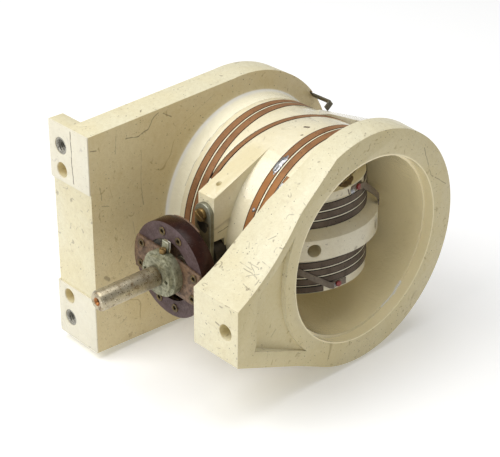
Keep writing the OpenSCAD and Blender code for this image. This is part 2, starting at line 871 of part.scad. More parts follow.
// A lens-shaped leaf whose ends follow the insulating ring
module leaf_outline() {
    intersection() {
        circle(r = coupling_r - 0.2);
        hull() {
            square([2 * coupling_r, 2 * leaf_end_half_w], center = true);
            square([18, 2 * leaf_half_w], center = true);
        }
    }
}

// Places a child at each of the four rivets of a leaf; turn is 0 for the front leaf
module at_rivets(turn) {
    for (side = [0, 180], spread = [-rivet_spread, rivet_spread])
        rotate([0, turn + side + spread, 0]) translate([rivet_circle_r, 0, 0]) children();
}

module rear_leaf() {
    color(leaf_brown) standing() coupled() difference() {
        along_y(-ring_back, -rear_leaf_back) rotate(90) leaf_outline();
        bar_y(stub_r + 0.5, -ring_back - 1, -rear_leaf_back + 1);
        at_rivets(90) bar_y(eyelet_shank_r, -ring_back - 1, -rear_leaf_back + 1);
    }
}

module coupling_ring() {
    color(bakelite) standing() coupled() difference() {
        bar_y(coupling_r, -coupling_face, -ring_back);
        bar_y(coupling_bore_r, -coupling_face - 1, -ring_back + 1);
        at_rivets(0) bar_y(eyelet_shank_r, -coupling_face - 1, -ring_back + 1);
        at_rivets(90) bar_y(eyelet_shank_r, -coupling_face - 1, -ring_back + 1);
    }
}

// A tubular rivet between two faces, with a flange on each
module eyelet(y0, y1) {
    difference() {
        union() {
            bar_y(eyelet_shank_r, y0, y1);
            bar_y(eyelet_r, y0 - eyelet_head, y0);
            bar_y(eyelet_r, y1, y1 + eyelet_head);
        }
        bar_y(eyelet_bore_r, y0 - 1, y1 + 1);
    }
}

module rear_leaf_rivets() {
    color(brass) standing() coupled() at_rivets(90) eyelet(-coupling_face, -rear_leaf_back);
}

module front_leaf() {
    color(leaf_brown) standing() coupled() difference() {
        along_y(-front_leaf_front, -coupling_face) leaf_outline();
        bar_y(drive_r + 0.5, -front_leaf_front - 1, -coupling_face + 1);
        at_rivets(0) bar_y(eyelet_shank_r, -front_leaf_front - 1, -coupling_face + 1);
    }
}

module front_leaf_rivets() {
    color(brass) standing() coupled() at_rivets(0) eyelet(-front_leaf_front, -ring_back);
}

module front_hub() {
    color("#8f9484") standing() coupled() difference() {
        union() {
            bar_y(hub_flange_r, -front_leaf_front - hub_flange_t, -front_leaf_front);
            bar_y(hub_collar_r, -hub_front, -front_leaf_front);
        }
        bar_y(spigot_r, -hub_front - 1, -front_leaf_front + 1);
        for (side = [0, 180]) rotate([0, side, 0]) translate([7.5, 0, 0])
            bar_y(1.1, -hub_front - 1, -hub_front + 4);
        translate([-8, -front_leaf_front - 2, hub_flat]) cube([16, 3, 3]);
        translate([0, -front_leaf_front - 3.1, 0]) cylinder(r = 1.2, h = 20);
    }
}

module hub_stop_block() {
    color("#d8d4c0") standing() coupled() translate([-3, -front_leaf_front - 1.3, hub_flat])
        cube([4.4, 1.3, 5.4]);
}

module front_hub_set_screw() {
    color(brass) standing() coupled() translate([0, -front_leaf_front - 3.1, 0]) difference() {
        union() {
            translate([0, 0, spigot_r]) cylinder(r = 1.2, h = hub_flange_r - spigot_r);
            translate([0, 0, hub_flange_r]) cylinder(r = 1.7, h = 2);
        }
        translate([-3, -0.3, hub_flange_r + 1.2]) cube([6, 0.6, 2]);
    }
}

// The shaft's free end has a shoulder just in front of the hub, which is pressed on its spigot
module drive_shaft() {
    color(steel) standing() difference() {
        union() {
            bar_y(drive_r, -drive_end + 1, -hub_front - shoulder_gap);
            bar_y(spigot_r, -hub_front - 1, -drive_inner);
            translate([0, -drive_end + 1, 0]) rotate([90, 0, 0]) cylinder(r1 = drive_r, r2 = drive_r - 0.9, h = 1);
        }
        bar_y(0.9, -drive_end - 1, -drive_end + 5);
        translate([0, -drive_end - eps, 0]) rotate([-90, 0, 0]) cylinder(r1 = 2, r2 = 0.9, h = 1.1);
    }
}

left_end_plate();
stator_barrel();
ring_plate();
lug_inserts();
left_stator_winding();
right_stator_winding();
stator_link_ribbon();
stator_solder_joints();
terminal_strip();
terminal_screws();
front_bearing_plate();
rear_bearing_plate();
front_bush();
rear_bush();
front_plate_screws();
rear_plate_screws();
front_contact_spring();
rear_contact_spring();
ball_shell();
upper_ball_winding();
lower_ball_winding();
ball_link_ribbon();
ball_lead_strap();
ball_terminal_blocks();
ball_terminal_screws();
front_shaft_stub();
rear_shaft_stub();
stub_nuts();
rear_hub();
rear_hub_set_screw();
rear_leaf();
coupling_ring();
rear_leaf_rivets();
front_leaf();
front_leaf_rivets();
front_hub();
hub_stop_block();
front_hub_set_screw();
drive_shaft();
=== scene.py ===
"""Looks for the ball variometer: a wound ceramic ball inside a wound ceramic barrel.

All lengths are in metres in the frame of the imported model. Sizes written with MM are millimetres.
"""

import math

import bmesh
import bpy
import numpy as np
from mathutils import Matrix, Vector


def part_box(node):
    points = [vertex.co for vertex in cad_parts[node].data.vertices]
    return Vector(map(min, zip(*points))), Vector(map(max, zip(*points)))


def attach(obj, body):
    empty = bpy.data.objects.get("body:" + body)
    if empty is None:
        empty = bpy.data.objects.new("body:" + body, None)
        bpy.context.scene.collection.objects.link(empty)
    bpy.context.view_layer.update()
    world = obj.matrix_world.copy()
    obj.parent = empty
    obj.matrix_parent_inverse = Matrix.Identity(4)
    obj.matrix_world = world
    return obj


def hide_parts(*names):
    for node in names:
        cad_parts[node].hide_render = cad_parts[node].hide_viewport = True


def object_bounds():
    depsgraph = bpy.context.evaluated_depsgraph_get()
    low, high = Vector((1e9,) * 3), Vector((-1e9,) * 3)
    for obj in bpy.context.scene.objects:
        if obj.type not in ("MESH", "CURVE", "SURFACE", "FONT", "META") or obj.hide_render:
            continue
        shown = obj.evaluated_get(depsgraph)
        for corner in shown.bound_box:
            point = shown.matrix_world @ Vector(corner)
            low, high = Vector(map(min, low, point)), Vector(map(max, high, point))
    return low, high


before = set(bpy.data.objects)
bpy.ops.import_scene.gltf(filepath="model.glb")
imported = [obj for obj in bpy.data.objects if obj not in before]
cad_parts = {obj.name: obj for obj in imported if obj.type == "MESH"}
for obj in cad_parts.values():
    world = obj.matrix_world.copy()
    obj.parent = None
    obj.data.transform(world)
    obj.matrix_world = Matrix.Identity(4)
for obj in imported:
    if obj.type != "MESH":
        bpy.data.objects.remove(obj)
cad_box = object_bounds()

MM = 0.001
# The ball's centre, which the drawing of the part is laid out from
CENTRE = np.array([6.55, 30.5, 63.5]) * MM

# Sizes of the drawing that the wound pieces are made from, in millimetres
BARREL_R = 52.0
RIBBON_W = 4.4
RIDGE_W = 0.8
RIBBON_T = 0.7
WINDING_START = 15.2
SEAT_R = 36.0
SEAT_START = 8.9
ROTOR_RIBBON_W = 3.8
ROTOR_RIDGE_W = 0.65
BALL_TILT = -3.0
POLE_R = 35.6
GROOVE_R = 51.2
TURN_PITCH = RIBBON_W + RIDGE_W
ROTOR_PITCH = ROTOR_RIBBON_W + ROTOR_RIDGE_W
LINK_W = 3.4
LINK_X = -2.3
LINK_SLANT = 14.98
JOINT_X = 28.0
BORE_R = 47.0
RIB_W = 11.0


# Shader helpers

def node(tree, kind, **values):
    """Adds a node and sets its properties and, by socket name, its unlinked inputs."""
    made = tree.nodes.new(kind)
    for key, value in values.items():
        if key in made.inputs:
            made.inputs[key].default_value = value
        else:
            setattr(made, key, value)
    return made


def link(tree, source, target):
    tree.links.new(source, target)


def socket(made, name):
    """An input by name, taking the enabled one where several share it."""
    for entry in made.inputs:
        if entry.name == name and entry.enabled:
            return entry
    raise KeyError(name)


def maths(tree, operation, first, second=None, clamp=False):
    """A Math node's output; each operand is a number or an output socket."""
    made = tree.nodes.new("ShaderNodeMath")
    made.operation = operation
    made.use_clamp = clamp
    for index, operand in enumerate([first, second]):
        if operand is None:
            continue
        if isinstance(operand, (int, float)):
            made.inputs[index].default_value = operand
        else:
            link(tree, operand, made.inputs[index])
    return made.outputs[0]


def ranged(tree, value, low, high, to_low=0.0, to_high=1.0, smooth=False):
    """A clamped map from one range to another."""
    made = tree.nodes.new("ShaderNodeMapRange")
    made.interpolation_type = "SMOOTHSTEP" if smooth else "LINEAR"
    limits = [("From Min", low), ("From Max", high), ("To Min", to_low), ("To Max", to_high)]
    for name, operand in limits:
        entry = socket(made, name)
        if isinstance(operand, (int, float)):
            entry.default_value = operand
        else:
            link(tree, operand, entry)
    link(tree, value, socket(made, "Value"))
    return made.outputs[0]


def mixed(tree, factor, first, second, blend="MIX"):
    """A colour mix; each colour is a tuple or an output socket."""
    made = tree.nodes.new("ShaderNodeMix")
    made.data_type = "RGBA"
    made.blend_type = blend
    # Sockets 6 and 7 are the two colours and output 2 is the mixed one
    for entry, operand in [(made.inputs[0], factor), (made.inputs[6], first), (made.inputs[7], second)]:
        if isinstance(operand, (int, float)):
            entry.default_value = operand
        elif isinstance(operand, tuple):
            entry.default_value = (*operand, 1.0)
        else:
            link(tree, operand, entry)
    return made.outputs[2]


def vectors(tree, operation, first, second=None, scale=None):
    """A Vector Math node's output; each operand is a tuple or an output socket."""
    made = node(tree, "ShaderNodeVectorMath", operation=operation)
    for index, operand in enumerate([first, second]):
        if isinstance(operand, tuple):
            made.inputs[index].default_value = operand
        elif operand is not None:
            link(tree, operand, made.inputs[index])
    if scale is not None:
        link(tree, scale, made.inputs["Scale"])
    return made.outputs["Value" if operation in ("DOT_PRODUCT", "DISTANCE", "LENGTH") else "Vector"]


def split(tree, vector):
    """The X, Y and Z outputs of a vector."""
    made = tree.nodes.new("ShaderNodeSeparateXYZ")
    link(tree, vector, made.inputs[0])
    return made.outputs


def noise_at(tree, vector, per_metre, **values):
    """A noise pattern at a place, with its scale from a socket too."""
    made = node(tree, "ShaderNodeTexNoise", **values)
    link(tree, vector, made.inputs["Vector"])
    link(tree, per_metre, made.inputs["Scale"])
    return made.outputs[0]


def new_group(name, result, numbers, places=()):
    """A shader node group that takes a vector, more places and named numbers, and gives one number.

    Returns its tree, what it is given, by name, and the socket for its result.
    """
    tree = bpy.data.node_groups.new(name, "ShaderNodeTree")
    for title in ["Vector", *places]:
        tree.interface.new_socket(name=title, in_out="INPUT", socket_type="NodeSocketVector")
    for title, default in numbers.items():
        made = tree.interface.new_socket(name=title, in_out="INPUT", socket_type="NodeSocketFloat")
        made.default_value = default
    tree.interface.new_socket(name=result, in_out="OUTPUT", socket_type="NodeSocketFloat")
    given = tree.nodes.new("NodeGroupInput")
    put = tree.nodes.new("NodeGroupOutput")
    return tree, given.outputs, put.inputs[0]


def specks_group():
    """Small round dots: a share of the cells of a Voronoi pattern holds one, each of its own size."""
    tree, given, put = new_group("specks", "Mask", {"Per Metre": 400.0, "Share": 0.2, "Size": 0.3})
    cells = node(tree, "ShaderNodeTexVoronoi", feature="F1", voronoi_dimensions="3D", Randomness=1.0)
    link(tree, given["Vector"], cells.inputs["Vector"])
    link(tree, given["Per Metre"], cells.inputs["Scale"])
    parts = tree.nodes.new("ShaderNodeSeparateColor")
    link(tree, cells.outputs["Color"], parts.inputs[0])
    chosen = maths(tree, "LESS_THAN", parts.outputs[0], given["Share"])
    size = maths(tree, "MULTIPLY", given["Size"], maths(tree, "ADD", parts.outputs[1], 0.15))
    edge = ranged(tree, cells.outputs["Distance"], 0.0, size, 1.0, 0.0)
    sharp = ranged(tree, edge, 0.05, 0.5)
    link(tree, maths(tree, "MULTIPLY", chosen, sharp), put)
    return tree


def mottle_group():
    """Cloudy patches: layered noise with its contrast set by a low and a high limit."""
    tree, given, put = new_group("mottle", "Mask", {"Per Metre": 60.0, "Low": 0.4, "High": 0.65})
    noise = noise_at(tree, given["Vector"], given["Per Metre"], Detail=5.0, Roughness=0.6, Distortion=0.4)
    link(tree, ranged(tree, noise, given["Low"], given["High"], smooth=True), put)
    return tree


def scratches_group():
    """Thin wandering lines where a smooth noise passes its middle value, broken up by another noise."""
    tree, given, put = new_group("scratches", "Mask", {"Per Metre": 60.0, "Width": 0.004, "Share": 0.4})
    noise = noise_at(tree, given["Vector"], given["Per Metre"], Detail=1.5, Roughness=0.45, Distortion=0.8)
    off = maths(tree, "ABSOLUTE", maths(tree, "SUBTRACT", noise, 0.5))
    line = ranged(tree, off, 0.0, given["Width"], 1.0, 0.0)
    breaks = noise_at(tree, given["Vector"], maths(tree, "MULTIPLY", given["Per Metre"], 1.7), Detail=2.0)
    low = maths(tree, "SUBTRACT", 0.75, maths(tree, "MULTIPLY", given["Share"], 0.5))
    kept = ranged(tree, breaks, low, maths(tree, "ADD", low, 0.06))
    link(tree, maths(tree, "MULTIPLY", line, kept), put)
    return tree


def turning_group():
    """Fine turning marks: noise stretched round the shaft's axis, which lies along Y."""
    tree, given, put = new_group("turning_marks", "Value", {"Per Metre": 3000.0})
    wide = vectors(tree, "MULTIPLY", given["Vector"], (0.06, 1.0, 0.06))
    link(tree, noise_at(tree, wide, given["Per Metre"], Detail=3.0, Roughness=0.7), put)
    return tree


def stroke_group():
    """A wavering line between two points: full within half of its half width, none beyond it."""
    widths = {"Half Width": 0.0004, "Waver": 0.0015}
    tree, given, put = new_group("stroke", "Mask", widths, ["Start", "End"])
    noise = node(tree, "ShaderNodeTexNoise", Scale=170.0, Detail=2.0)
    link(tree, given["Vector"], noise.inputs["Vector"])
    centred = vectors(tree, "SUBTRACT", noise.outputs["Color"], (0.5, 0.5, 0.5))
    shift = vectors(tree, "SCALE", centred, scale=given["Waver"])
    moved = vectors(tree, "ADD", given["Vector"], shift)
    run = vectors(tree, "SUBTRACT", given["End"], given["Start"])
    away = vectors(tree, "SUBTRACT", moved, given["Start"])
    along = vectors(tree, "DOT_PRODUCT", away, run)
    whole = vectors(tree, "DOT_PRODUCT", run, run)
    part = maths(tree, "DIVIDE", along, whole, clamp=True)
    foot = vectors(tree, "SCALE", run, scale=part)
    gap = vectors(tree, "DISTANCE", away, foot)
    inner = maths(tree, "MULTIPLY", given["Half Width"], 0.5)
    link(tree, ranged(tree, gap, inner, given["Half Width"], 1.0, 0.0), put)
    return tree


SPECKS = specks_group()
STROKE = stroke_group()
MOTTLE = mottle_group()
SCRATCHES = scratches_group()
TURNING = turning_group()


def placed(tree, group, vector, **values):
    """A group's node fed with coordinates and its own values; returns its first output."""
    made = tree.nodes.new("ShaderNodeGroup")
    made.node_tree = group
    link(tree, vector, made.inputs["Vector"])
    for key, value in values.items():
        made.inputs[key.replace("_", " ")].default_value = value
    return made.outputs[0]


class Finish:
    """A material under construction, with its tree, its shader and its coordinates."""

    def __init__(self, name, roughness=0.5, metallic=0.0, specular=0.5, coat=0.0):
        self.material = bpy.data.materials.new(name)
        self.material.use_nodes = True
        self.tree = self.material.node_tree
        self.shader = self.tree.nodes["Principled BSDF"]
        self.shader.inputs["Roughness"].default_value = roughness
        self.shader.inputs["Metallic"].default_value = metallic
        self.shader.inputs["Specular IOR Level"].default_value = specular
        self.shader.inputs["Coat Weight"].default_value = coat
        self.at = self.tree.nodes.new("ShaderNodeTexCoord").outputs["Object"]

    def colour(self, value):
        link(self.tree, value, self.shader.inputs["Base Color"])

    def rough(self, value):
        link(self.tree, value, self.shader.inputs["Roughness"])

    def bump(self, height, distance, strength):
        made = node(self.tree, "ShaderNodeBump", Strength=strength, Distance=distance)
        link(self.tree, height, made.inputs["Height"])
        link(self.tree, made.outputs[0], self.shader.inputs["Normal"])

    def mask(self, group, **values):
        return placed(self.tree, group, self.at, **values)

    def over(self, body, mask, share, colour):
        """The body colour with another colour over it where a mask is set, by a share of the mask."""
        return mixed(self.tree, maths(self.tree, "MULTIPLY", mask, share), body, colour)

    def drawn(self, body, strokes, colour):
        """The body colour with strokes over it, each by start, end, half width in mm and strength."""
        strongest = None
        for start, end, half_width, strength in strokes:
            mask = self.mask(STROKE, Start=spot(*start), End=spot(*end), Half_Width=half_width * MM)
            weighed = maths(self.tree, "MULTIPLY", mask, strength)
            strongest = weighed if strongest is None else maths(self.tree, "MAXIMUM", strongest, weighed)
        return body if strongest is None else mixed(self.tree, strongest, body, colour)


def spot(x, y, z):
    """A place given from the ball's centre in millimetres, as a place in the frame."""
    return tuple(float(value) for value in CENTRE + np.array([x, y, z]) * MM)


# Colours of the marks on the ceramic, some of them painted shade, of its painted highlights, and of
# its thick glaze in the bore and on the neck, which is painted paler as light
SPECK = (0.1, 0.065, 0.035)
LONG_CRACK = (0.2, 0.14, 0.08)
SHORT_CRACK = (0.18, 0.13, 0.075)
TINY_CRACK = (0.24, 0.17, 0.1)
# Dark strokes: real marks, and on the ball painted shade in a dark hole
DARK_MARK_AND_SHADE = (0.09, 0.05, 0.02)
# A painted highlight
GLINT = (0.98, 0.97, 0.92)
PEEL = (0.5, 0.4, 0.2)
YELLOW_TINT = (0.72, 0.6, 0.3)
PALE_FRONT = (0.8, 0.77, 0.68)
# Painted shade, mixed into the faces that look along +X
KHAKI_SHADE = (0.52, 0.395, 0.12)
# Glaze of the bores, painted paler and warmer as light bounced round the bore
BORE_GLAZE_AND_BOUNCE = (0.96, 0.84, 0.52)
# A painted highlight at the neck's rim, then the neck's glaze painted paler as light in the left plate's
# shadow
NECK_RIM_HIGHLIGHT = (0.975, 0.955, 0.88)
NECK_GLAZE_AND_LIGHT = (0.975, 0.92, 0.71)
# Half the width of the step from one glaze to another, in metres
GLAZE_STEP = 0.2 * MM


def ceramic(name, pale, warm, stain, rough_low, speck_share, strokes=(), shiny_from=None, coat=0.0,
            wear=1.0, x_face_shade=0.0, shade_colour=KHAKI_SHADE, shiny_within=None, glints=(), paler_before=None,
            uneven=1.0, tinted=()):
    """Glazed ceramic: a pale body with warmer clouds, dark specks, hair cracks and pencil-like marks.

    The faces that look along +X are given painted shade: they are mixed towards the given shade colour
    by the given share. The glaze is thick and smooth beyond the place shiny_from along X, where it is
    painted paler as light in the left plate's shadow, with a painted highlight at its rim; it is also
    thick and smooth nearer to the coil's axis than shiny_within, where it is painted paler and warmer as
    light bounced round the bore. Glints are painted highlights, strokes of near-white, and tinted ones
    are yellow. The pencil-like marks on the ball are painted shade in a dark hole. What lies before the
    place paler_before along Y is less yellow, and uneven says how far the surface rises and falls.
    """
    look = Finish(name, coat=coat)
    look.shader.inputs["Coat Roughness"].default_value = 0.08
    tree = look.tree
    clouds = look.mask(MOTTLE, Per_Metre=30.0, Low=0.36, High=0.72)
    stains = look.mask(MOTTLE, Per_Metre=170.0, Low=0.56, High=0.78)
    grain = look.mask(MOTTLE, Per_Metre=1500.0, Low=0.3, High=0.7)
    peel = look.mask(MOTTLE, Per_Metre=420.0, Low=0.3, High=0.7)
    dots = look.mask(SPECKS, Per_Metre=300.0, Share=speck_share * 0.55, Size=0.13)
    fine = look.mask(SPECKS, Per_Metre=700.0, Share=speck_share * 1.5, Size=0.25)
    marks = maths(tree, "MAXIMUM", dots, fine)
    cracks = look.mask(SCRATCHES, Per_Metre=24.0, Width=0.0055, Share=0.3)
    short = look.mask(SCRATCHES, Per_Metre=130.0, Width=0.035, Share=0.3)
    tiny = look.mask(SCRATCHES, Per_Metre=420.0, Width=0.05, Share=0.25)
    body = mixed(tree, clouds, pale, warm)
    body = look.over(body, stains, 0.22 * wear, stain)
    body = look.over(body, grain, 0.12 * wear, stain)
    body = look.over(body, peel, 0.09 * uneven, PEEL)
    body = look.drawn(body, tinted, YELLOW_TINT)
    body = look.over(body, cracks, 0.6 * wear, LONG_CRACK)
    body = look.over(body, short, 0.55 * wear, SHORT_CRACK)
    body = look.over(body, tiny, 0.3 * wear, TINY_CRACK)
    # Painted shade: faces that look along +X are mixed towards the shade colour
    if x_face_shade:
        normal = tree.nodes.new("ShaderNodeNewGeometry").outputs["Normal"]
        facing = ranged(tree, split(tree, normal)[0], 0.1, 0.9, 0.0, x_face_shade, smooth=True)
        body = mixed(tree, facing, body, shade_colour)
    body = look.over(body, marks, 0.7, SPECK)
    clouded = maths(tree, "ADD", clouds, maths(tree, "MULTIPLY", marks, 0.5))
    rough = ranged(tree, clouded, 0.0, 1.4, rough_low, rough_low + 0.2)
    if paler_before is not None:
        limits = (paler_before - 0.1 * MM, paler_before + 0.1 * MM)
        before = ranged(tree, split(tree, look.at)[1], *limits, 0.55, 0.0)
        body = mixed(tree, before, body, PALE_FRONT)
    # Past shiny_from: thick glaze, painted paler as light in the left plate's shadow, with a painted
    # highlight at its rim
    if shiny_from is not None:
        x = split(tree, look.at)[0]
        glazed = ranged(tree, x, shiny_from - GLAZE_STEP, shiny_from + GLAZE_STEP)
        past_rim = ranged(tree, x, shiny_from + 0.4 * MM, shiny_from + 1.8 * MM)
        body = look.over(body, glazed, 0.93, mixed(tree, past_rim, NECK_RIM_HIGHLIGHT, NECK_GLAZE_AND_LIGHT))
        rough = ranged(tree, glazed, 0.0, 1.0, rough, 0.1)
    # Nearer the axis: the bore's thick glaze, painted paler and warmer as light bounced round the bore
    if shiny_within is not None:
        from_centre = vectors(tree, "SUBTRACT", look.at, spot(0, 0, 0))
        across = vectors(tree, "MULTIPLY", from_centre, (0.0, 1.0, 1.0))
        off_axis = vectors(tree, "LENGTH", across)
        glazed = ranged(tree, off_axis, shiny_within - GLAZE_STEP, shiny_within + GLAZE_STEP, 1.0, 0.0)
        body = look.over(body, glazed, 0.95, BORE_GLAZE_AND_BOUNCE)
        rough = ranged(tree, glazed, 0.0, 1.0, rough, 0.11)
        link(tree, ranged(tree, glazed, 0.0, 1.0, coat, 0.7), look.shader.inputs["Coat Weight"])
    # Dark strokes; on the ball they are painted shade in a dark hole
    body = look.drawn(body, strokes, DARK_MARK_AND_SHADE)
    # Glints are painted highlights
    look.colour(look.drawn(body, glints, GLINT))
    look.rough(rough)
    relief = maths(tree, "SUBTRACT", maths(tree, "MULTIPLY", grain, 0.5), marks)
    relief = maths(tree, "ADD", relief, maths(tree, "MULTIPLY", peel, uneven))
    look.bump(relief, 0.00009, 0.8)
    return look.material


# Colours of the marks on the metals and of the shaft; the black is painted shade over dark openings
SHADE_BLACK = (0.008, 0.006, 0.004)
DULL_STEEL = (0.3, 0.255, 0.165)
BRIGHT_STEEL = (0.66, 0.585, 0.43)
RUST = (0.2, 0.125, 0.055)
PIT = (0.07, 0.045, 0.025)
LIGHT_DOT = (0.85, 0.81, 0.68)
BROWN_BAND = (0.15, 0.08, 0.035)
CENTRE_HOLE = (0.36, 0.15, 0.05)
# The middle of the brown band on the drive shaft, in millimetres from the ball's centre
BAND_Y = -86.0


def metal(name, bright, dull, deep, rough_low, rough_high, patch=110.0, share=0.4, metallic=0.9,
          ribbon=False, tinged=(), tinge_colour=None, pitted=0.3, shade_strokes=()):
    """Aged metal: a bright colour that shows through a dull one, with deep stains, dots and scratches.

    On a ribbon the colour darkens towards both edges, by the piece's own UV across it, as painted shade
    where the ribbon meets the ridges beside it. Tinged and blackened are lists of strokes; the second are
    painted shade, black over dark openings.
    """
    look = Finish(name, metallic=metallic, specular=0.15 if ribbon else 0.5)
    tree = look.tree
    patches = look.mask(MOTTLE, Per_Metre=patch, Low=0.5 - 0.3 * share, High=0.8 - 0.3 * share)
    grain = look.mask(MOTTLE, Per_Metre=900.0, Low=0.35, High=0.7)
    pits = look.mask(SPECKS, Per_Metre=900.0, Share=pitted, Size=0.3)
    lines = look.mask(SCRATCHES, Per_Metre=240.0, Width=0.012, Share=0.5)
    body = mixed(tree, patches, bright, dull)
    body = look.over(body, grain, 0.4, dull)
    body = look.over(body, pits, 0.8, deep)
    body = look.over(body, lines, 0.4, bright)
    body = look.drawn(body, tinged, tinge_colour)
    # Painted shade: black strokes over dark openings
    body = look.drawn(body, shade_strokes, SHADE_BLACK)
    # Painted shade along a ribbon's edges, where it meets the ridges beside it
    if ribbon:
        across = split(tree, tree.nodes.new("ShaderNodeUVMap").outputs[0])[0]
        off = maths(tree, "ABSOLUTE", maths(tree, "SUBTRACT", across, 0.5))
        body = mixed(tree, ranged(tree, off, 0.34, 0.43, smooth=True), body, deep)
    look.colour(body)
    look.rough(ranged(tree, maths(tree, "ADD", patches, grain), 0.0, 2.0, rough_low, rough_high))
    look.bump(maths(tree, "SUBTRACT", grain, pits), 0.00005, 0.5)
    return look.material


def shaft_steel():
    """Turned steel with speckled rust, a brown band where the knob sat and a rusty centre hole."""
    look = Finish("shaft_steel", metallic=0.85)
    tree = look.tree
    turned = look.mask(TURNING, Per_Metre=2600.0)
    rust = look.mask(MOTTLE, Per_Metre=260.0, Low=0.5, High=0.7)
    pits = look.mask(SPECKS, Per_Metre=1100.0, Share=0.8, Size=0.45)
    light = look.mask(SPECKS, Per_Metre=1500.0, Share=0.35, Size=0.35)
    brown = look.mask(MOTTLE, Per_Metre=420.0, Low=0.35, High=0.6)
    centre = spot(0, 0, 0)
    place = split(tree, look.at)
    body = mixed(tree, turned, DULL_STEEL, BRIGHT_STEEL)
    body = look.over(body, rust, 0.8, RUST)
    body = look.over(body, pits, 0.8, PIT)
    body = look.over(body, light, 0.85, LIGHT_DOT)
    near = maths(tree, "ABSOLUTE", maths(tree, "SUBTRACT", place[1], spot(0, BAND_Y, 0)[1]))
    band = ranged(tree, near, 0.004, 0.009, 1.0, 0.0, smooth=True)
    body = look.over(body, maths(tree, "MULTIPLY", band, brown), 0.75, BROWN_BAND)
    away = maths(tree, "POWER", maths(tree, "SUBTRACT", place[0], centre[0]), 2.0)
    rise = maths(tree, "POWER", maths(tree, "SUBTRACT", place[2], centre[2]), 2.0)
    off_axis = maths(tree, "SQRT", maths(tree, "ADD", away, rise))
    body = mixed(tree, ranged(tree, off_axis, 0.0019, 0.0023, 1.0, 0.0), body, CENTRE_HOLE)
    look.colour(body)
    look.rough(ranged(tree, maths(tree, "ADD", rust, turned), 0.0, 2.0, 0.3, 0.62))
    look.bump(maths(tree, "SUBTRACT", turned, maths(tree, "MULTIPLY", pits, 1.5)), 0.00006, 0.6)
    return look.material


def bakelite():
    """Moulded insulation: dark red-brown gloss on the rim, mauve-grey and dusty on the faces along Y."""
    look = Finish("bakelite", specular=0.2)
    tree = look.tree
    normal = tree.nodes.new("ShaderNodeNewGeometry").outputs["Normal"]
    facing = ranged(tree, maths(tree, "ABSOLUTE", split(tree, normal)[1]), 0.55, 0.85)
    swirl = look.mask(MOTTLE, Per_Metre=160.0, Low=0.3, High=0.75)
    fibre = look.mask(MOTTLE, Per_Metre=900.0, Low=0.35, High=0.68)
    dust = look.mask(SPECKS, Per_Metre=1200.0, Share=0.35, Size=0.3)
    rim = mixed(tree, swirl, (0.016, 0.004, 0.002), (0.034, 0.009, 0.004))
    face = mixed(tree, swirl, (0.125, 0.085, 0.086), (0.085, 0.054, 0.052))
    face = look.over(face, fibre, 0.6, (0.05, 0.028, 0.022))
    body = mixed(tree, facing, rim, face)
    look.colour(look.over(body, dust, 0.3, (0.16, 0.12, 0.1)))
    look.rough(mixed(tree, facing, (0.24, 0.24, 0.24), (0.5, 0.5, 0.5)))
    look.bump(fibre, 0.00005, 0.5)
    return look.material


# Mesh helpers

def in_scene(name, data):
    """A new object that holds the data, linked to the scene."""
    made = bpy.data.objects.new(name, data)
    bpy.context.scene.collection.objects.link(made)
    return made


def new_piece(name, surfaces, body, material, replaces=()):
    """A piece from a list of closed surfaces, each with its points in metres, its faces and its UVs."""
    points = np.concatenate([surface[0] for surface in surfaces])
    faces = []
    start = 0
    for surface in surfaces:
        faces += [[start + corner for corner in face] for face in surface[1]]
        start += len(surface[0])
    mesh = bpy.data.meshes.new(name)
    mesh.from_pydata(points.tolist(), [], faces)
    corners = np.empty(len(mesh.loops), dtype=np.int64)
    mesh.loops.foreach_get("vertex_index", corners)
    flat = np.concatenate([surface[2] for surface in surfaces])
    mesh.uv_layers.new(name="UVMap").data.foreach_set("uv", flat[corners].astype(np.float32).ravel())
    work = bmesh.new()
    work.from_mesh(mesh)
    bmesh.ops.remove_doubles(work, verts=work.verts, dist=1e-8)
    bmesh.ops.recalc_face_normals(work, faces=work.faces)
    work.to_mesh(mesh)
    work.free()
    mesh.shade_smooth()
    mesh.set_sharp_from_angle(angle=math.radians(50.0))
    mesh.materials.append(material)
    made = in_scene(name, mesh)
    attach(made, body)
    if replaces:
        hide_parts(*replaces)


def grid_faces(rows, columns, wrap_rows=False):
    """Quads of a grid of points, one row after another. Each row closes on itself; so may the columns."""
    i = np.arange(rows if wrap_rows else rows - 1)
    i, j = np.meshgrid(i, np.arange(columns), indexing="ij")
    i2 = (i + 1) % rows
    j2 = (j + 1) % columns
    quads = np.stack([i * columns + j, i2 * columns + j, i2 * columns + j2, i * columns + j2], axis=-1)
    return quads.reshape(-1, 4).tolist()


def strip(path, across, outward, width, thick):
    """A flat ribbon along a path: a rounded rectangle, crowned by a little, at every point of the path.

    Point (i, j) is path[i] + across[i] * profile[j, 0] + outward[i] * profile[j, 1]. All in millimetres
    from the ball's centre; the ends are closed with one face each.
    """
    half = width / 2
    corner = 0.14
    crown_rise = 0.05
    bend = np.radians([0.0, 30.0, 60.0, 90.0])
    left = np.stack([-half + corner * (1 - np.cos(bend)), thick - corner + corner * np.sin(bend)], axis=1)
    top = np.linspace(-half + corner, half - corner, 9)[1:-1]
    crown = thick + crown_rise * (1 - (2 * top / width) ** 2)
    right = left[::-1] * np.array([-1.0, 1.0])
    profile = np.concatenate([
        [[-half, 0.0]], left, np.stack([top, crown], axis=1), right, [[half, 0.0]],
    ])
    points = path[:, None] + across[:, None] * profile[None, :, :1]
    points = points + outward[:, None] * profile[None, :, 1:]
    rows, columns = points.shape[:2]
    step = np.linalg.norm(np.diff(path, axis=0), axis=1)
    along = np.concatenate([[0.0], np.cumsum(step)])
    flat = np.broadcast_arrays(profile[None, :, 0] / width + 0.5, along[:, None] / width)
    flat = np.stack(flat, axis=-1)
    faces = grid_faces(rows, columns)
    faces.append(list(range(columns)))
    faces.append(list(range((rows - 1) * columns, rows * columns))[::-1])
    return points.reshape(-1, 3), faces, flat.reshape(-1, 2)


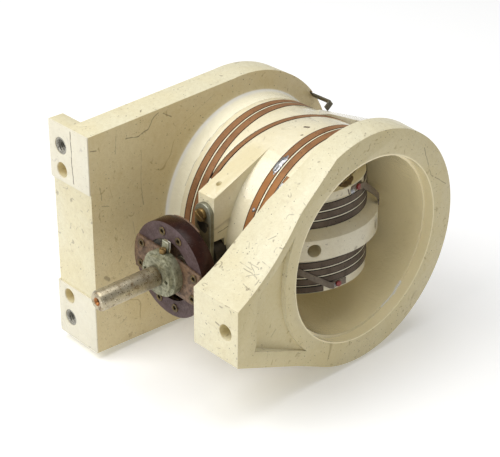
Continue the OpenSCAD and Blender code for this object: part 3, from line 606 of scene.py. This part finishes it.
def in_frame(surface, tilted=False):
    """Takes a surface from millimetres about the ball's centre to metres in the frame, tilted or not."""
    points = surface[0]
    if tilted:
        turn = math.radians(BALL_TILT)
        x = points[:, 0] * math.cos(turn) + points[:, 2] * math.sin(turn)
        z = -points[:, 0] * math.sin(turn) + points[:, 2] * math.cos(turn)
        points = np.stack([x, points[:, 1], z], axis=1)
    return CENTRE + points * MM, surface[1], surface[2]


def barrel_turn(middle, first, last, radius, width, thick, sway=0.05, steps=220):
    """A turn about the barrel at one radius, with its angle t from +Z towards +Y.

    x = middle + sway * (sin(5 t) + sin(13 t + 1) / 2).
    """
    t = np.radians(np.linspace(first, last, steps))
    x = middle + sway * np.sin(5 * t) + 0.5 * sway * np.sin(13 * t + 1.0)
    outward = np.stack([np.zeros_like(t), np.sin(t), np.cos(t)], axis=1)
    path = outward * radius
    path[:, 0] = x
    across = np.tile([1.0, 0.0, 0.0], (steps, 1))
    return in_frame(strip(path, across, outward, width, thick))


def ball_turn(low, first, last, radius, width, thick, steps=180):
    """A turn about the ball's axis, with its angle t from +X towards +Y.

    Its height is low + width / 2 + sway * sin(4 t).
    """
    sway = 0.04
    t = np.radians(np.linspace(first, last, steps))
    outward = np.stack([np.cos(t), np.sin(t), np.zeros_like(t)], axis=1)
    path = outward * radius
    path[:, 2] = low + width / 2 + sway * np.sin(4 * t)
    across = np.tile([0.0, 0.0, 1.0], (steps, 1))
    return in_frame(strip(path, across, outward, width, thick), tilted=True)


def slanting_band(offset, slant, first, last, radius, width, thick):
    """A ribbon round the barrel in a plane turned by the slant about Z.

    Point = offset + side * LINK_W / 2 + radius * outward, where outward is rear * sin(t) + up * cos(t),
    and side and rear are the plane's own X and Y. Each point is then moved square to the barrel's axis
    until it is at the radius from it.
    """
    steps = 140
    t = np.radians(np.linspace(first, last, steps))
    turn = math.radians(slant)
    side = np.array([math.cos(turn), -math.sin(turn), 0.0])
    rear = np.array([math.sin(turn), math.cos(turn), 0.0])
    outward = np.sin(t)[:, None] * rear + np.cos(t)[:, None] * np.array([0.0, 0.0, 1.0])
    path = outward * radius + np.array([offset, 0.0, 0.0]) + side * LINK_W / 2
    off_axis = np.linalg.norm(path[:, 1:], axis=1)
    path[:, 1:] *= (radius / off_axis)[:, None]
    across = np.tile(side, (steps, 1))
    return in_frame(strip(path, across, outward, width, thick))


def solder_blob(middle, along, across, outward, half_along, half_across, rise, lumps, bend_radius):
    """A run of solder: middle + a * along + b * across + outward * (rise * (1 - s^2)^0.6 - a^2 / (2 R)).

    s goes from 0 in the middle to 1 at the edge and q goes round, with a = half_along * s * cos(q) and
    b = half_across * s * sin(q), both swollen by lumps that wander round the edge. The rise has waves in
    it too. R is the radius that it lies on, and the underside closes to one point.
    """
    s = np.concatenate([np.linspace(0.0, 1.0, 13), [0.0]])[:, None]
    under = np.array([0.0] * 13 + [1.0])[:, None]
    q = np.radians(np.arange(0, 360, 10))
    wander = 1 + 0.12 * np.sin(3 * q + lumps) + 0.07 * np.sin(7 * q + 2 * lumps)
    a = s * np.cos(q) * wander
    b = s * np.sin(q) * wander
    waves = 1 + 0.25 * np.sin(5 * a + lumps) * np.cos(4 * b)
    height = rise * np.maximum(1 - s ** 2, 0.0) ** 0.6 * waves
    height = height * (1 - under) - 0.15 * under
    lift = height - (half_along * a) ** 2 / (2 * bend_radius)
    along, across, outward = (np.array(axis, dtype=float) for axis in (along, across, outward))
    points = np.array(middle, dtype=float) + half_along * a[..., None] * along
    points = points + half_across * b[..., None] * across + lift[..., None] * outward
    return points.reshape(-1, 3), grid_faces(len(s), len(q)), np.stack([a, b], axis=-1).reshape(-1, 2)


def barrel_solder(x, angle, radius, *shape):
    """Solder on the barrel: its middle at an angle from +Z towards +Y, running round the barrel.

    The shape is half_along, half_across, rise and lumps, as for solder_blob.
    """
    t = math.radians(angle)
    outward = (0.0, math.sin(t), math.cos(t))
    along = (0.0, math.cos(t), -math.sin(t))
    middle = (x, radius * outward[1], radius * outward[2])
    return in_frame(solder_blob(middle, along, (1.0, 0.0, 0.0), outward, *shape, radius))


def ball_solder(height, angle, radius, *shape):
    """Solder on the ball: its middle at an angle from +X towards +Y and a height along the ball's axis."""
    t = math.radians(angle)
    outward = (math.cos(t), math.sin(t), 0.0)
    along = (-math.sin(t), math.cos(t), 0.0)
    middle = (radius * outward[0], radius * outward[1], height)
    blob = solder_blob(middle, along, (0.0, 0.0, 1.0), outward, *shape, radius)
    return in_frame(blob, tilted=True)


def ball_strap(stations, width, thick):
    """A flat lead over the ball through stations of angle, height and radius, eased round their corners.

    The path is the stations joined by straight runs and averaged over a short window; across is the cross
    product of the path's direction and outward, and outward is the radial direction square to the path.
    """
    steps = 90
    stations = np.array(stations, dtype=float)
    share = np.linspace(0, len(stations) - 1, steps)
    rows = np.stack([np.interp(share, np.arange(len(stations)), stations[:, k]) for k in range(3)], axis=1)
    window = np.ones(7) / 7
    padded = np.pad(rows, ((3, 3), (0, 0)), mode="reflect", reflect_type="odd")
    eased = np.stack([np.convolve(padded[:, k], window, mode="valid") for k in range(3)], axis=1)
    t = np.radians(eased[:, 0])
    radial = np.stack([np.cos(t), np.sin(t), np.zeros_like(t)], axis=1)
    path = radial * eased[:, 2:]
    path[:, 2] = eased[:, 1]
    ahead = np.gradient(path, axis=0)
    ahead /= np.linalg.norm(ahead, axis=1)[:, None]
    outward = radial - ahead * np.sum(radial * ahead, axis=1)[:, None]
    outward /= np.linalg.norm(outward, axis=1)[:, None]
    across = np.cross(ahead, outward)
    return in_frame(strip(path, across, outward, width, thick), tilted=True)


def threaded_sleeve(x, z, front, back, outer, thread_r, thread_rise, pitch):
    """A sleeve round a line along Y: its outside is plain, and inside a thread runs up it.

    The inside's radius at turn q (from 0 to 1) and place y is thread_r - thread_rise * |2 * frac(y / pitch
    + q) - 1|, which is a ridge that climbs by one pitch a turn. The ends are closed by flat rings.
    """
    q = np.linspace(0.0, 1.0, 48, endpoint=False)
    y = np.linspace(front, back, 84)
    climb = np.mod(y[:, None] / pitch + q[None, :], 1.0)
    inside = thread_r - thread_rise * np.abs(2 * climb - 1)
    radius = np.concatenate([np.full((1, len(q)), outer), inside, np.full((1, len(q)), outer)])
    along = np.concatenate([[front], y, [back]])[:, None]
    points = np.stack(np.broadcast_arrays(
        x + radius * np.cos(2 * math.pi * q), along, z + radius * np.sin(2 * math.pi * q)), axis=-1)
    faces = grid_faces(len(along), len(q), wrap_rows=True)
    flat = np.stack(np.broadcast_arrays(q[None, :], along / pitch), axis=-1)
    return in_frame((points.reshape(-1, 3), faces, flat.reshape(-1, 2)))


# Points of the CAD nearer than this are one, in metres, and faces flatter than this are one
SAME_POINT = 2e-6
SAME_FACE = math.radians(0.6)
# Edges sharper than the first angle are rounded, and those sharper than the second are shaded as sharp
ROUNDED_FROM = math.radians(32.0)
SHARP_FROM = math.radians(34.0)


def merged_mesh(name):
    """A CAD node's mesh to work on, with its double points merged and its flat faces made whole."""
    work = bmesh.new()
    work.from_mesh(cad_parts[name].data)
    bmesh.ops.remove_doubles(work, verts=work.verts, dist=SAME_POINT)
    bmesh.ops.dissolve_limit(
        work, angle_limit=SAME_FACE, verts=work.verts, edges=work.edges, use_dissolve_boundaries=False,
    )
    return work


def finished_copy(name, material, body, radius=0.0, edge_material=None, keep=None):
    """A copy of a CAD node, which stands for the node.

    Its sharp edges are rounded by the radius, apart from those whose middles keep says no to.
    """
    work = merged_mesh(name)
    if radius:
        edges = []
        for edge in work.edges:
            if len(edge.link_faces) != 2 or edge.calc_face_angle(0.0) < ROUNDED_FROM:
                continue
            if keep is None or keep((edge.verts[0].co + edge.verts[1].co) / 2):
                edges.append(edge)
        bmesh.ops.bevel(
            work, geom=edges, offset=radius, offset_type="OFFSET", segments=2, profile=0.5,
            affect="EDGES", clamp_overlap=True, material=1 if edge_material else -1,
        )
    mesh = bpy.data.meshes.new(name + "_finished")
    work.to_mesh(mesh)
    work.free()
    mesh.materials.append(material)
    if edge_material:
        mesh.materials.append(edge_material)
    mesh.shade_smooth()
    mesh.set_sharp_from_angle(angle=SHARP_FROM)
    copy = in_scene(name + "_finished", mesh)
    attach(copy, body)
    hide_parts(name)


# Marks, painted highlights and painted shade: strokes in millimetres from the ball's centre, by start,
# end, half width and strength

def face_marks(x, rows):
    """Strokes at one place along X, from rows of start Y and Z, end Y and Z, half width and strength."""
    return [((x, *row[:2]), (x, *row[2:4]), *row[4:]) for row in rows]


def arc_marks(x, first, last, step, radius, half_width, strength):
    """Short strokes round the coil's axis at a radius, from one angle from +Z towards +Y to another."""
    turns = np.radians(np.arange(first, last, step))
    ends = np.stack([np.full_like(turns, x), radius * np.sin(turns), radius * np.cos(turns)], axis=1)
    return [(tuple(a), tuple(b), half_width, strength) for a, b in zip(ends[:-1], ends[1:])]


# The face of the left end plate that looks at the coil, and the seam where its neck meets the barrel
PLATE_FACE = -38.0
SEAM = -28.35
LEFT_MARKS = arc_marks(SEAM, -66.0, -4.0, 7.0, 51.95, 0.35, 0.4) + face_marks(PLATE_FACE, [
    (-91.0, -17.8, -88.9, -20.0, 1.1, 0.5),
    (-82.4, -12.4, -80.8, -10.2, 0.3, 0.4),
    (-83.3, -48.0, -78.8, -45.8, 0.35, 0.3),
    (-91.1, 21.7, -87.0, 20.2, 0.3, 0.4),
    (-40.0, 49.0, -20.0, 58.5, 0.3, 0.15),
    (-75.5, 51.7, -67.7, 50.8, 0.42, 0.65),
    (-67.7, 50.8, -62.1, 52.7, 0.4, 0.6),
    (-62.1, 52.7, -59.6, 56.6, 0.38, 0.55),
    (-59.6, 56.6, -55.8, 59.1, 0.35, 0.5),
    (-52.7, 58.2, -47.8, 54.6, 0.38, 0.5),
    (-66.7, 43.2, -67.4, 23.1, 0.35, 0.2),
    (-67.4, 23.1, -65.8, 13.8, 0.4, 0.35),
    (-96.5, 51.7, -93.1, 51.1, 0.35, 0.6),
    (-81.2, 55.0, -82.2, 46.1, 0.32, 0.3),
    (-91.8, 31.5, -91.0, 24.8, 0.35, 0.4),
    (-73.0, 6.4, -70.4, -10.3, 0.35, 0.22),
]) + [
    ((-51.1, -98.0, 57.8), (-50.4, -98.0, 31.2), 0.4, 0.85),
    ((-43.0, -62.0, 61.0), (-39.0, -66.0, 60.0), 0.4, 0.7),
]
# Painted highlights along the step inside the ring's mouth
RING_GLINTS = [
    ((43.8, 20.0, -43.0), (43.8, 28.4, -38.4), 0.7, 0.9),
    ((43.8, 28.4, -38.4), (43.8, 33.5, -34.0), 0.9, 1.2),
]
RING_MARKS = [
    ((49.5, 36.8, 42.6), (49.5, 43.9, 25.7), 0.3, 0.6),
    ((49.5, 43.9, 25.7), (49.5, 56.3, 17.0), 0.28, 0.5),
    ((39.2, -71.7, 14.0), (48.3, -72.3, 13.7), 0.32, 0.50),
    ((43.9, -74.2, 12.5), (48.6, -70.7, 14.7), 0.3, 0.47),
    ((40.2, -68.4, 16.3), (49.5, -72.8, 13.4), 0.28, 0.47),
    ((35.6, -70.2, 15.0), (44.0, -70.7, 14.7), 0.28, 0.43),
    ((45.7, -66.2, 17.8), (51.4, -66.7, 17.5), 0.28, 0.40),
    ((41.2, -58.4, 24.3), (43.8, -56.0, 26.5), 0.3, 0.5),
    ((39.3, -68.7, 16.0), (46.0, -68.9, 15.9), 0.28, 0.43),
    ((45.7, -77.1, 10.8), (50.6, -78.0, 10.3), 0.3, 0.40),
    ((50.9, -75.2, 11.9), (50.8, -72.7, 13.4), 0.4, 0.43),
    ((48.3, -55.6, 14.8), (49.4, -52.4, 20.3), 0.35, 0.5),
    ((48.3, -59.6, -20.0), (48.3, -62.0, -22.5), 0.6, 0.22),
    ((46.3, -88.9, 5.0), (49.0, -88.8, 5.2), 0.35, 0.6),
    ((52.8, -84.5, 4.4), (54.2, -81.0, 5.6), 0.5, 0.5),
    ((40.4, -89.0, -6.6), (42.4, -89.0, -7.3), 0.6, 0.54),
]
BARREL_TINTS = [
    ((0.0, -30.0, 42.0), (0.0, -58.0, 34.0), 8.5, 0.4),
    ((0.0, -50.0, 20.0), (0.0, -50.0, -20.0), 9.0, 0.3),
]
BARREL_MARKS = [
    ((5.5, -56.5, 12.3), (5.5, -50.3, 13.6), 0.3, 0.6),
    ((5.5, -45.0, 16.0), (5.5, -41.0, 19.0), 0.3, 0.5),
    ((8.5, -3.4, 51.9), (10.1, -2.2, 51.9), 0.95, 1.3),
    ((12.6, -9.9, 51.1), (13.1, -9.5, 51.1), 0.5, 1.0),
]
# Painted shade: a black blob over the dark hole in the top of the ball, and a dark line running down from
# it
BALL_HOLE_SHADE = [
    ((26.6, 9.6, 27.7), (30.9, 3.6, 27.9), 2.4, 3.0),
    ((29.0, 4.5, 27.9), (31.4, 0.6, 27.9), 2.6, 3.0),
    ((31.4, 1.1, 27.9), (34.2, 1.0, 26.3), 0.55, 1.6),
    ((34.2, 1.0, 26.3), (34.4, 1.7, 23.9), 0.5, 1.6),
]

BEARING_TINGES = [
    ((0.0, -60.3, 16.0), (0.0, -60.3, -16.0), 6.6, 1.4),
    ((0.0, 60.3, 16.0), (0.0, 60.3, -16.0), 6.6, 1.4),
]
# Painted shade: black over the dark opening beside the front bearing's boss
BEARING_OPENING_SHADE = [
    ((-2.6, -61.5, 16.2), (3.0, -61.5, 17.4), 1.3, 3.0),
    ((-0.4, -61.5, 15.2), (1.2, -61.5, 14.8), 2.5, 3.0),
]

# Materials: each ceramic's pale, warm and stained colours, its roughness and its share of specks
CREAM = (0.82, 0.772, 0.56)
WARM_CREAM = (0.79, 0.72, 0.48)
STAINED_CREAM = (0.5, 0.4, 0.22)
# In these ceramics the faces along +X get painted shade, and the bores and the left plate's neck painted
# light
LEFT_GLAZE = ceramic(
    "left_plate_glaze", CREAM, WARM_CREAM, STAINED_CREAM, 0.34, 0.17, strokes=LEFT_MARKS, wear=1.1,
    shiny_from=spot(-36.8, 0, 0)[0], shiny_within=0.0475, paler_before=spot(0, -97.4, 0)[1],
    x_face_shade=0.36, shade_colour=(0.62, 0.39, 0.06), uneven=2.0,
)
RING_GLAZE = ceramic(
    "ring_plate_glaze", CREAM, WARM_CREAM, STAINED_CREAM, 0.32, 0.2, strokes=RING_MARKS,
    glints=RING_GLINTS, coat=0.12, wear=1.3, shiny_within=0.0488, x_face_shade=0.5, uneven=1.6,
)
BARREL_GLAZE = ceramic(
    "white_glaze", (0.88, 0.815, 0.605), (0.85, 0.765, 0.52), (0.55, 0.45, 0.27), 0.13, 0.08,
    strokes=BARREL_MARKS, tinted=BARREL_TINTS, coat=0.6, wear=0.6, shiny_within=0.0495, x_face_shade=0.1,
)
GLAZE_EDGE = ceramic(
    "worn_glaze_edge", (0.8, 0.72, 0.5), (0.6, 0.5, 0.31), (0.3, 0.22, 0.12), 0.34, 0.5, wear=2.0,
)
BALL_BODY = ceramic(
    "ball_ceramic", (0.72, 0.665, 0.505), (0.64, 0.565, 0.39), (0.36, 0.29, 0.17), 0.36, 0.12,
    strokes=BALL_HOLE_SHADE, coat=0.15,
)

# Each metal's bright, dull and stained colours and its lowest and highest roughness; on a ribbon the
# stained colour is also painted shade along both edges
COPPER = metal(
    "tarnished_copper", (0.35, 0.178, 0.083), (0.25, 0.125, 0.06), (0.03, 0.015, 0.01), 0.42, 0.58,
    metallic=0.2, ribbon=True,
)
RIGHT_COPPER = metal(
    "warmer_copper", (0.36, 0.18, 0.078), (0.26, 0.126, 0.057), (0.03, 0.015, 0.01), 0.42, 0.58,
    metallic=0.2, ribbon=True, tinge_colour=(0.36, 0.155, 0.05),
    tinged=[((18.0, -39.0, 34.0), (20.0, -46.0, 20.0), 13.0, 0.7)],
)
DARK_RIBBON = metal(
    "dark_ribbon", (0.125, 0.094, 0.068), (0.082, 0.06, 0.043), (0.006, 0.004, 0.003), 0.42, 0.6,
    metallic=0.1, ribbon=True,
)
BRASS = metal("aged_brass", (0.36, 0.24, 0.09), (0.17, 0.11, 0.05), (0.04, 0.025, 0.015), 0.35, 0.6)
DARK_BRASS = metal(
    "dark_brass", (0.13, 0.1, 0.055), (0.07, 0.055, 0.03), (0.025, 0.02, 0.012), 0.4, 0.65, metallic=0.7,
)
BLACKENED = metal(
    "blackened_brass", (0.05, 0.04, 0.028), (0.03, 0.024, 0.018), (0.012, 0.01, 0.008), 0.45, 0.7,
    metallic=0.5,
)
STRAP = metal(
    "tarnished_strip", (0.17, 0.15, 0.1), (0.075, 0.065, 0.045), (0.025, 0.02, 0.013), 0.38, 0.6,
    metallic=0.6,
)
DARK_STRAP = metal(
    "dark_strip", (0.17, 0.135, 0.095), (0.11, 0.083, 0.057), (0.03, 0.02, 0.013), 0.4, 0.6,
    metallic=0.25,
)
NICKEL = metal(
    "dulled_nickel", (0.36, 0.35, 0.235), (0.135, 0.13, 0.073), (0.05, 0.043, 0.025), 0.34, 0.6,
    patch=480.0, metallic=0.4, pitted=0.35,
)
BEARING = metal(
    "bearing_face", (0.33, 0.33, 0.25), (0.2, 0.19, 0.13), (0.05, 0.04, 0.025), 0.36, 0.6,
    metallic=0.5, tinge_colour=(0.13, 0.1, 0.05), tinged=BEARING_TINGES, shade_strokes=BEARING_OPENING_SHADE,
)
BEARING_RIM = metal(
    "bearing_rim", (0.5, 0.5, 0.4), (0.3, 0.29, 0.21), (0.07, 0.055, 0.035), 0.3, 0.5, metallic=0.7,
)
INSERT = metal(
    "insert_metal", (0.46, 0.44, 0.38), (0.2, 0.19, 0.16), (0.04, 0.035, 0.028), 0.45, 0.7,
    patch=700.0, metallic=0.3, pitted=0.6,
)
LEAF = metal(
    "rusty_leaf", (0.21, 0.125, 0.068), (0.07, 0.04, 0.024), (0.014, 0.009, 0.006), 0.42, 0.65,
    patch=520.0, metallic=0.1, pitted=0.6,
)
SOLDER = metal(
    "grey_solder", (0.62, 0.62, 0.63), (0.16, 0.16, 0.17), (0.05, 0.05, 0.05), 0.2, 0.42,
    patch=900.0, share=0.5, metallic=0.8,
)
RED_PAINT = metal(
    "red_paint", (0.3, 0.035, 0.03), (0.14, 0.022, 0.02), (0.04, 0.014, 0.01), 0.3, 0.5,
    patch=700.0, metallic=0.0,
)
STEEL = shaft_steel()
BAKELITE = bakelite()

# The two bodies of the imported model
FIXED = "stator"
MOVING = "rotor"


def off_the_joints(middle):
    """Leaves the bore's edges sharp where two ceramic pieces meet, so that the bore runs on."""
    x, y, z = (np.array(middle) - CENTRE) / MM
    in_bore = math.hypot(y, z) < BORE_R + 1.5
    return not (in_bore and abs(abs(x) - JOINT_X) < 0.3)


def off_the_link(middle):
    """Leaves the edges where the link ribbon's slot runs out through the rear rib as they are, too."""
    x, y, z = (np.array(middle) - CENTRE) / MM
    in_slot = abs(x) < RIB_W and 5 < y < 40 and z > 35 and math.hypot(y, z) > BORE_R + 2
    return off_the_joints(middle) and not in_slot


# Ceramic bodies

finished_copy("left_end_plate", LEFT_GLAZE, FIXED, radius=0.7 * MM, edge_material=GLAZE_EDGE,
              keep=off_the_joints)
finished_copy("ring_plate", RING_GLAZE, FIXED, radius=0.6 * MM, edge_material=GLAZE_EDGE,
              keep=off_the_joints)
finished_copy("stator_barrel", BARREL_GLAZE, FIXED, radius=0.12 * MM, keep=off_the_link)
finished_copy("ball_shell", BALL_BODY, MOVING, radius=0.12 * MM)

# Wound ribbons, in millimetres; the windings' are a little wider than the CAD's

STATOR_WIDTH = RIBBON_W + 0.1
STATOR_RISE = 0.86
AROUND = (-176.0, 176.0)
turn_middles = [WINDING_START + turn * TURN_PITCH + RIBBON_W / 2 for turn in (0, 1)]
new_piece(
    "left_stator_ribbon",
    [barrel_turn(-x, *AROUND, GROOVE_R, STATOR_WIDTH, STATOR_RISE) for x in turn_middles],
    FIXED, COPPER, ["left_stator_winding"],
)
short_end = barrel_turn(27.0, -80.0, -37.5, BARREL_R - 0.15, 3.2, 0.6, sway=0.0, steps=40)
new_piece(
    "right_stator_ribbon",
    [barrel_turn(x, *AROUND, GROOVE_R, STATOR_WIDTH, STATOR_RISE) for x in turn_middles] + [short_end],
    FIXED, RIGHT_COPPER, ["right_stator_winding"],
)
new_piece(
    "stator_link",
    [slanting_band(LINK_X - LINK_W / 2, LINK_SLANT, -56.6, 47.6, GROOVE_R, LINK_W - 0.1, 0.84)],
    FIXED, COPPER, ["stator_link_ribbon"],
)
new_piece(
    "stator_solder",
    [
        barrel_solder(17.4, -33.2, BARREL_R - 0.1, 6.2, 2.15, 0.6, 0.4),
        barrel_solder(26.4, -47.0, BARREL_R + 0.2, 5.0, 1.7, 0.8, 2.1),
        barrel_solder(18.0, -60.5, BARREL_R - 0.1, 1.2, 1.0, 0.8, 3.3),
    ],
    FIXED, SOLDER, ["stator_solder_joints"],
)

ROTOR_PLAY = 0.08
ROTOR_TURN = (94.0, 446.0, SEAT_R - RIBBON_T, ROTOR_RIBBON_W + ROTOR_PLAY, RIBBON_T + 0.08)
rotor_levels = [SEAT_START + turn * ROTOR_PITCH for turn in (0, 1, 2)]
new_piece(
    "upper_ball_ribbon",
    [ball_turn(h - ROTOR_PLAY / 2, *ROTOR_TURN) for h in rotor_levels]
    + [ball_turn(22.3, 27.0, 82.0, POLE_R - 0.1, 3.3, 0.5, steps=50)],
    MOVING, DARK_RIBBON, ["upper_ball_winding"],
)
new_piece(
    "lower_ball_ribbon",
    [ball_turn(-h - ROTOR_RIBBON_W - ROTOR_PLAY / 2, *ROTOR_TURN) for h in rotor_levels]
    + [ball_turn(-25.8, -150.0, -22.0, POLE_R - 0.1, 3.5, 0.5, steps=90)],
    MOVING, DARK_RIBBON, ["lower_ball_winding"],
)

# Metal parts

finished_copy("ball_link_ribbon", DARK_STRAP, MOVING)
finished_copy("terminal_strip", STRAP, FIXED)
new_piece(
    "ball_strap",
    [ball_strap([(15.5, 23.3, 36.3), (22.0, 22.6, 36.6), (47.5, 8.4, 41.9), (48.5, 4.4, 41.7)], 3.3, 0.5)],
    MOVING, DARK_STRAP, ["ball_lead_strap"],
)
finished_copy("ball_terminal_blocks", DARK_STRAP, MOVING, radius=0.2 * MM)
new_piece(
    "ball_solder",
    [
        ball_solder(22.9, 7.5, POLE_R + 0.3, 2.0, 1.5, 0.7, 1.3),
        ball_solder(-24.4, -13.2, POLE_R + 0.4, 1.5, 1.5, 0.6, 0.2),
    ],
    MOVING, SOLDER,
)

# Names, material, slot, body, rounding in millimetres and the material of the rounded edges
PLAIN_COPIES = [
    ("ball_terminal_screws", RED_PAINT, "painted_screw", MOVING, 0.15, None),
    ("front_bearing_plate rear_bearing_plate", BEARING, "nickelled_brass", FIXED, 0.35, BEARING_RIM),
    ("front_hub rear_hub hub_stop_block", NICKEL, "nickelled_brass", MOVING, 0.25, BEARING_RIM),
    ("front_plate_screws rear_plate_screws terminal_screws", BRASS, "brass", FIXED, 0.15, None),
    ("front_bush rear_bush", BLACKENED, "brass", FIXED, 0.15, None),
    ("front_hub_set_screw rear_hub_set_screw stub_nuts", BRASS, "brass", MOVING, 0.12, None),
    ("front_leaf_rivets rear_leaf_rivets", DARK_BRASS, "brass", MOVING, 0.12, BRASS),
    ("front_contact_spring rear_contact_spring", LEAF, "bronze_spring", FIXED, 0.0, None),
    ("front_leaf rear_leaf", LEAF, "bronze_spring", MOVING, 0.15, None),
]
for names, material, slot, body, radius, edge_material in PLAIN_COPIES:
    for name in names.split():
        finished_copy(name, material, body, radius * MM, edge_material)

# The inserts' own box gives their places and their radius
sleeve_low, sleeve_high = (np.array(corner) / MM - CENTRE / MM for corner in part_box("lug_inserts"))
SLEEVE_R = (sleeve_high[0] - sleeve_low[0]) / 2
new_piece(
    "threaded_lug_sleeves",
    [threaded_sleeve(sleeve_low[0] + SLEEVE_R, z, sleeve_low[1], sleeve_high[1], SLEEVE_R, 3.5, 0.55, 1.25)
     for z in (sleeve_low[2] + SLEEVE_R, sleeve_high[2] - SLEEVE_R)],
    FIXED, INSERT, ["lug_inserts"],
)
for name in ["drive_shaft", "front_shaft_stub", "rear_shaft_stub"]:
    finished_copy(name, STEEL, MOVING, radius=0.3 * MM)
finished_copy("coupling_ring", BAKELITE, MOVING, radius=0.4 * MM)


# Stage, light and camera

def floor_stage():
    """A wide flat sheet under the object."""
    mesh = bpy.data.meshes.new("floor")
    half = 8.0
    corners = [(-half, -half), (half, -half), (half, half), (-half, half)]
    mesh.from_pydata([(x, y, cad_box[0].z) for x, y in corners], [], [(0, 1, 2, 3)])
    made = in_scene("floor", mesh)
    look = Finish("pale_floor", roughness=0.85, specular=0.2)
    look.shader.inputs["Base Color"].default_value = (0.95, 0.95, 0.95, 1.0)
    look.shader.inputs["Emission Color"].default_value = (1.0, 1.0, 1.0, 1.0)
    look.shader.inputs["Emission Strength"].default_value = 0.16
    mesh.materials.append(look.material)


def area_light(name, place, target, size, power, colour):
    """A soft rectangular lamp at a place, turned to a target."""
    data = bpy.data.lights.new(name, "AREA")
    data.shape = "RECTANGLE"
    data.size = size[0]
    data.size_y = size[1]
    data.energy = power
    data.color = colour
    made = in_scene(name, data)
    made.location = place
    made.rotation_euler = (Vector(target) - Vector(place)).to_track_quat("-Z", "Y").to_euler()


def studio():
    """Pale surroundings, a large soft lamp high in front on the left, and a weaker one from above.

    The surroundings are brighter to the camera than they are to the object.
    """
    world = bpy.data.worlds.new("studio")
    world.use_nodes = True
    tree = world.node_tree
    background = tree.nodes["Background"]
    background.inputs["Color"].default_value = (0.99, 0.995, 1.0, 1.0)
    seen = tree.nodes.new("ShaderNodeLightPath").outputs["Is Camera Ray"]
    link(tree, ranged(tree, seen, 0.0, 1.0, 0.33, 1.0), background.inputs["Strength"])
    bpy.context.scene.world = world
    centre = tuple(CENTRE)
    area_light("key", (-0.36, -0.82, 1.1), centre, (1.0, 1.0), 13.4, (1.0, 0.995, 0.98))
    area_light("top", (0.0, 0.1, 1.35), centre, (0.9, 0.9), 6.5, (1.0, 1.0, 0.995))


def camera():
    """The camera of the photograph, from the fitted turn, height, roll, focal length and distance.

    The focal length and the ball centre's place in the picture are in pixels.
    """
    turn = math.radians(46.62)
    height = math.radians(29.06)
    roll = math.radians(0.76)
    focal = 1387.66
    at = (294.6, 213.66)
    picture = (500.0, 457.0)
    sensor = 36.0
    away = 696.5 * MM
    level = math.cos(height)
    ahead = Vector((-math.sin(turn) * level, math.cos(turn) * level, -math.sin(height)))
    right = Vector((math.cos(turn), math.sin(turn), 0.0))
    up = right.cross(ahead)
    across = right * math.cos(roll) + up * math.sin(roll)
    upward = up * math.cos(roll) - right * math.sin(roll)
    aside = (at[0] - picture[0] / 2) / focal * away
    below = (at[1] - picture[1] / 2) / focal * away
    place = Vector(CENTRE) - (ahead * away + across * aside - upward * below)
    data = bpy.data.cameras.new("camera")
    data.sensor_width = sensor
    data.lens = focal / picture[0] * sensor
    data.clip_start = 0.05
    data.clip_end = 50.0
    made = in_scene("camera", data)
    turned = Matrix((across, upward, -ahead)).transposed().to_4x4()
    made.matrix_world = Matrix.Translation(place) @ turned
    bpy.context.scene.camera = made


floor_stage()
studio()
camera()
bpy.context.scene.view_settings.view_transform = "Standard"
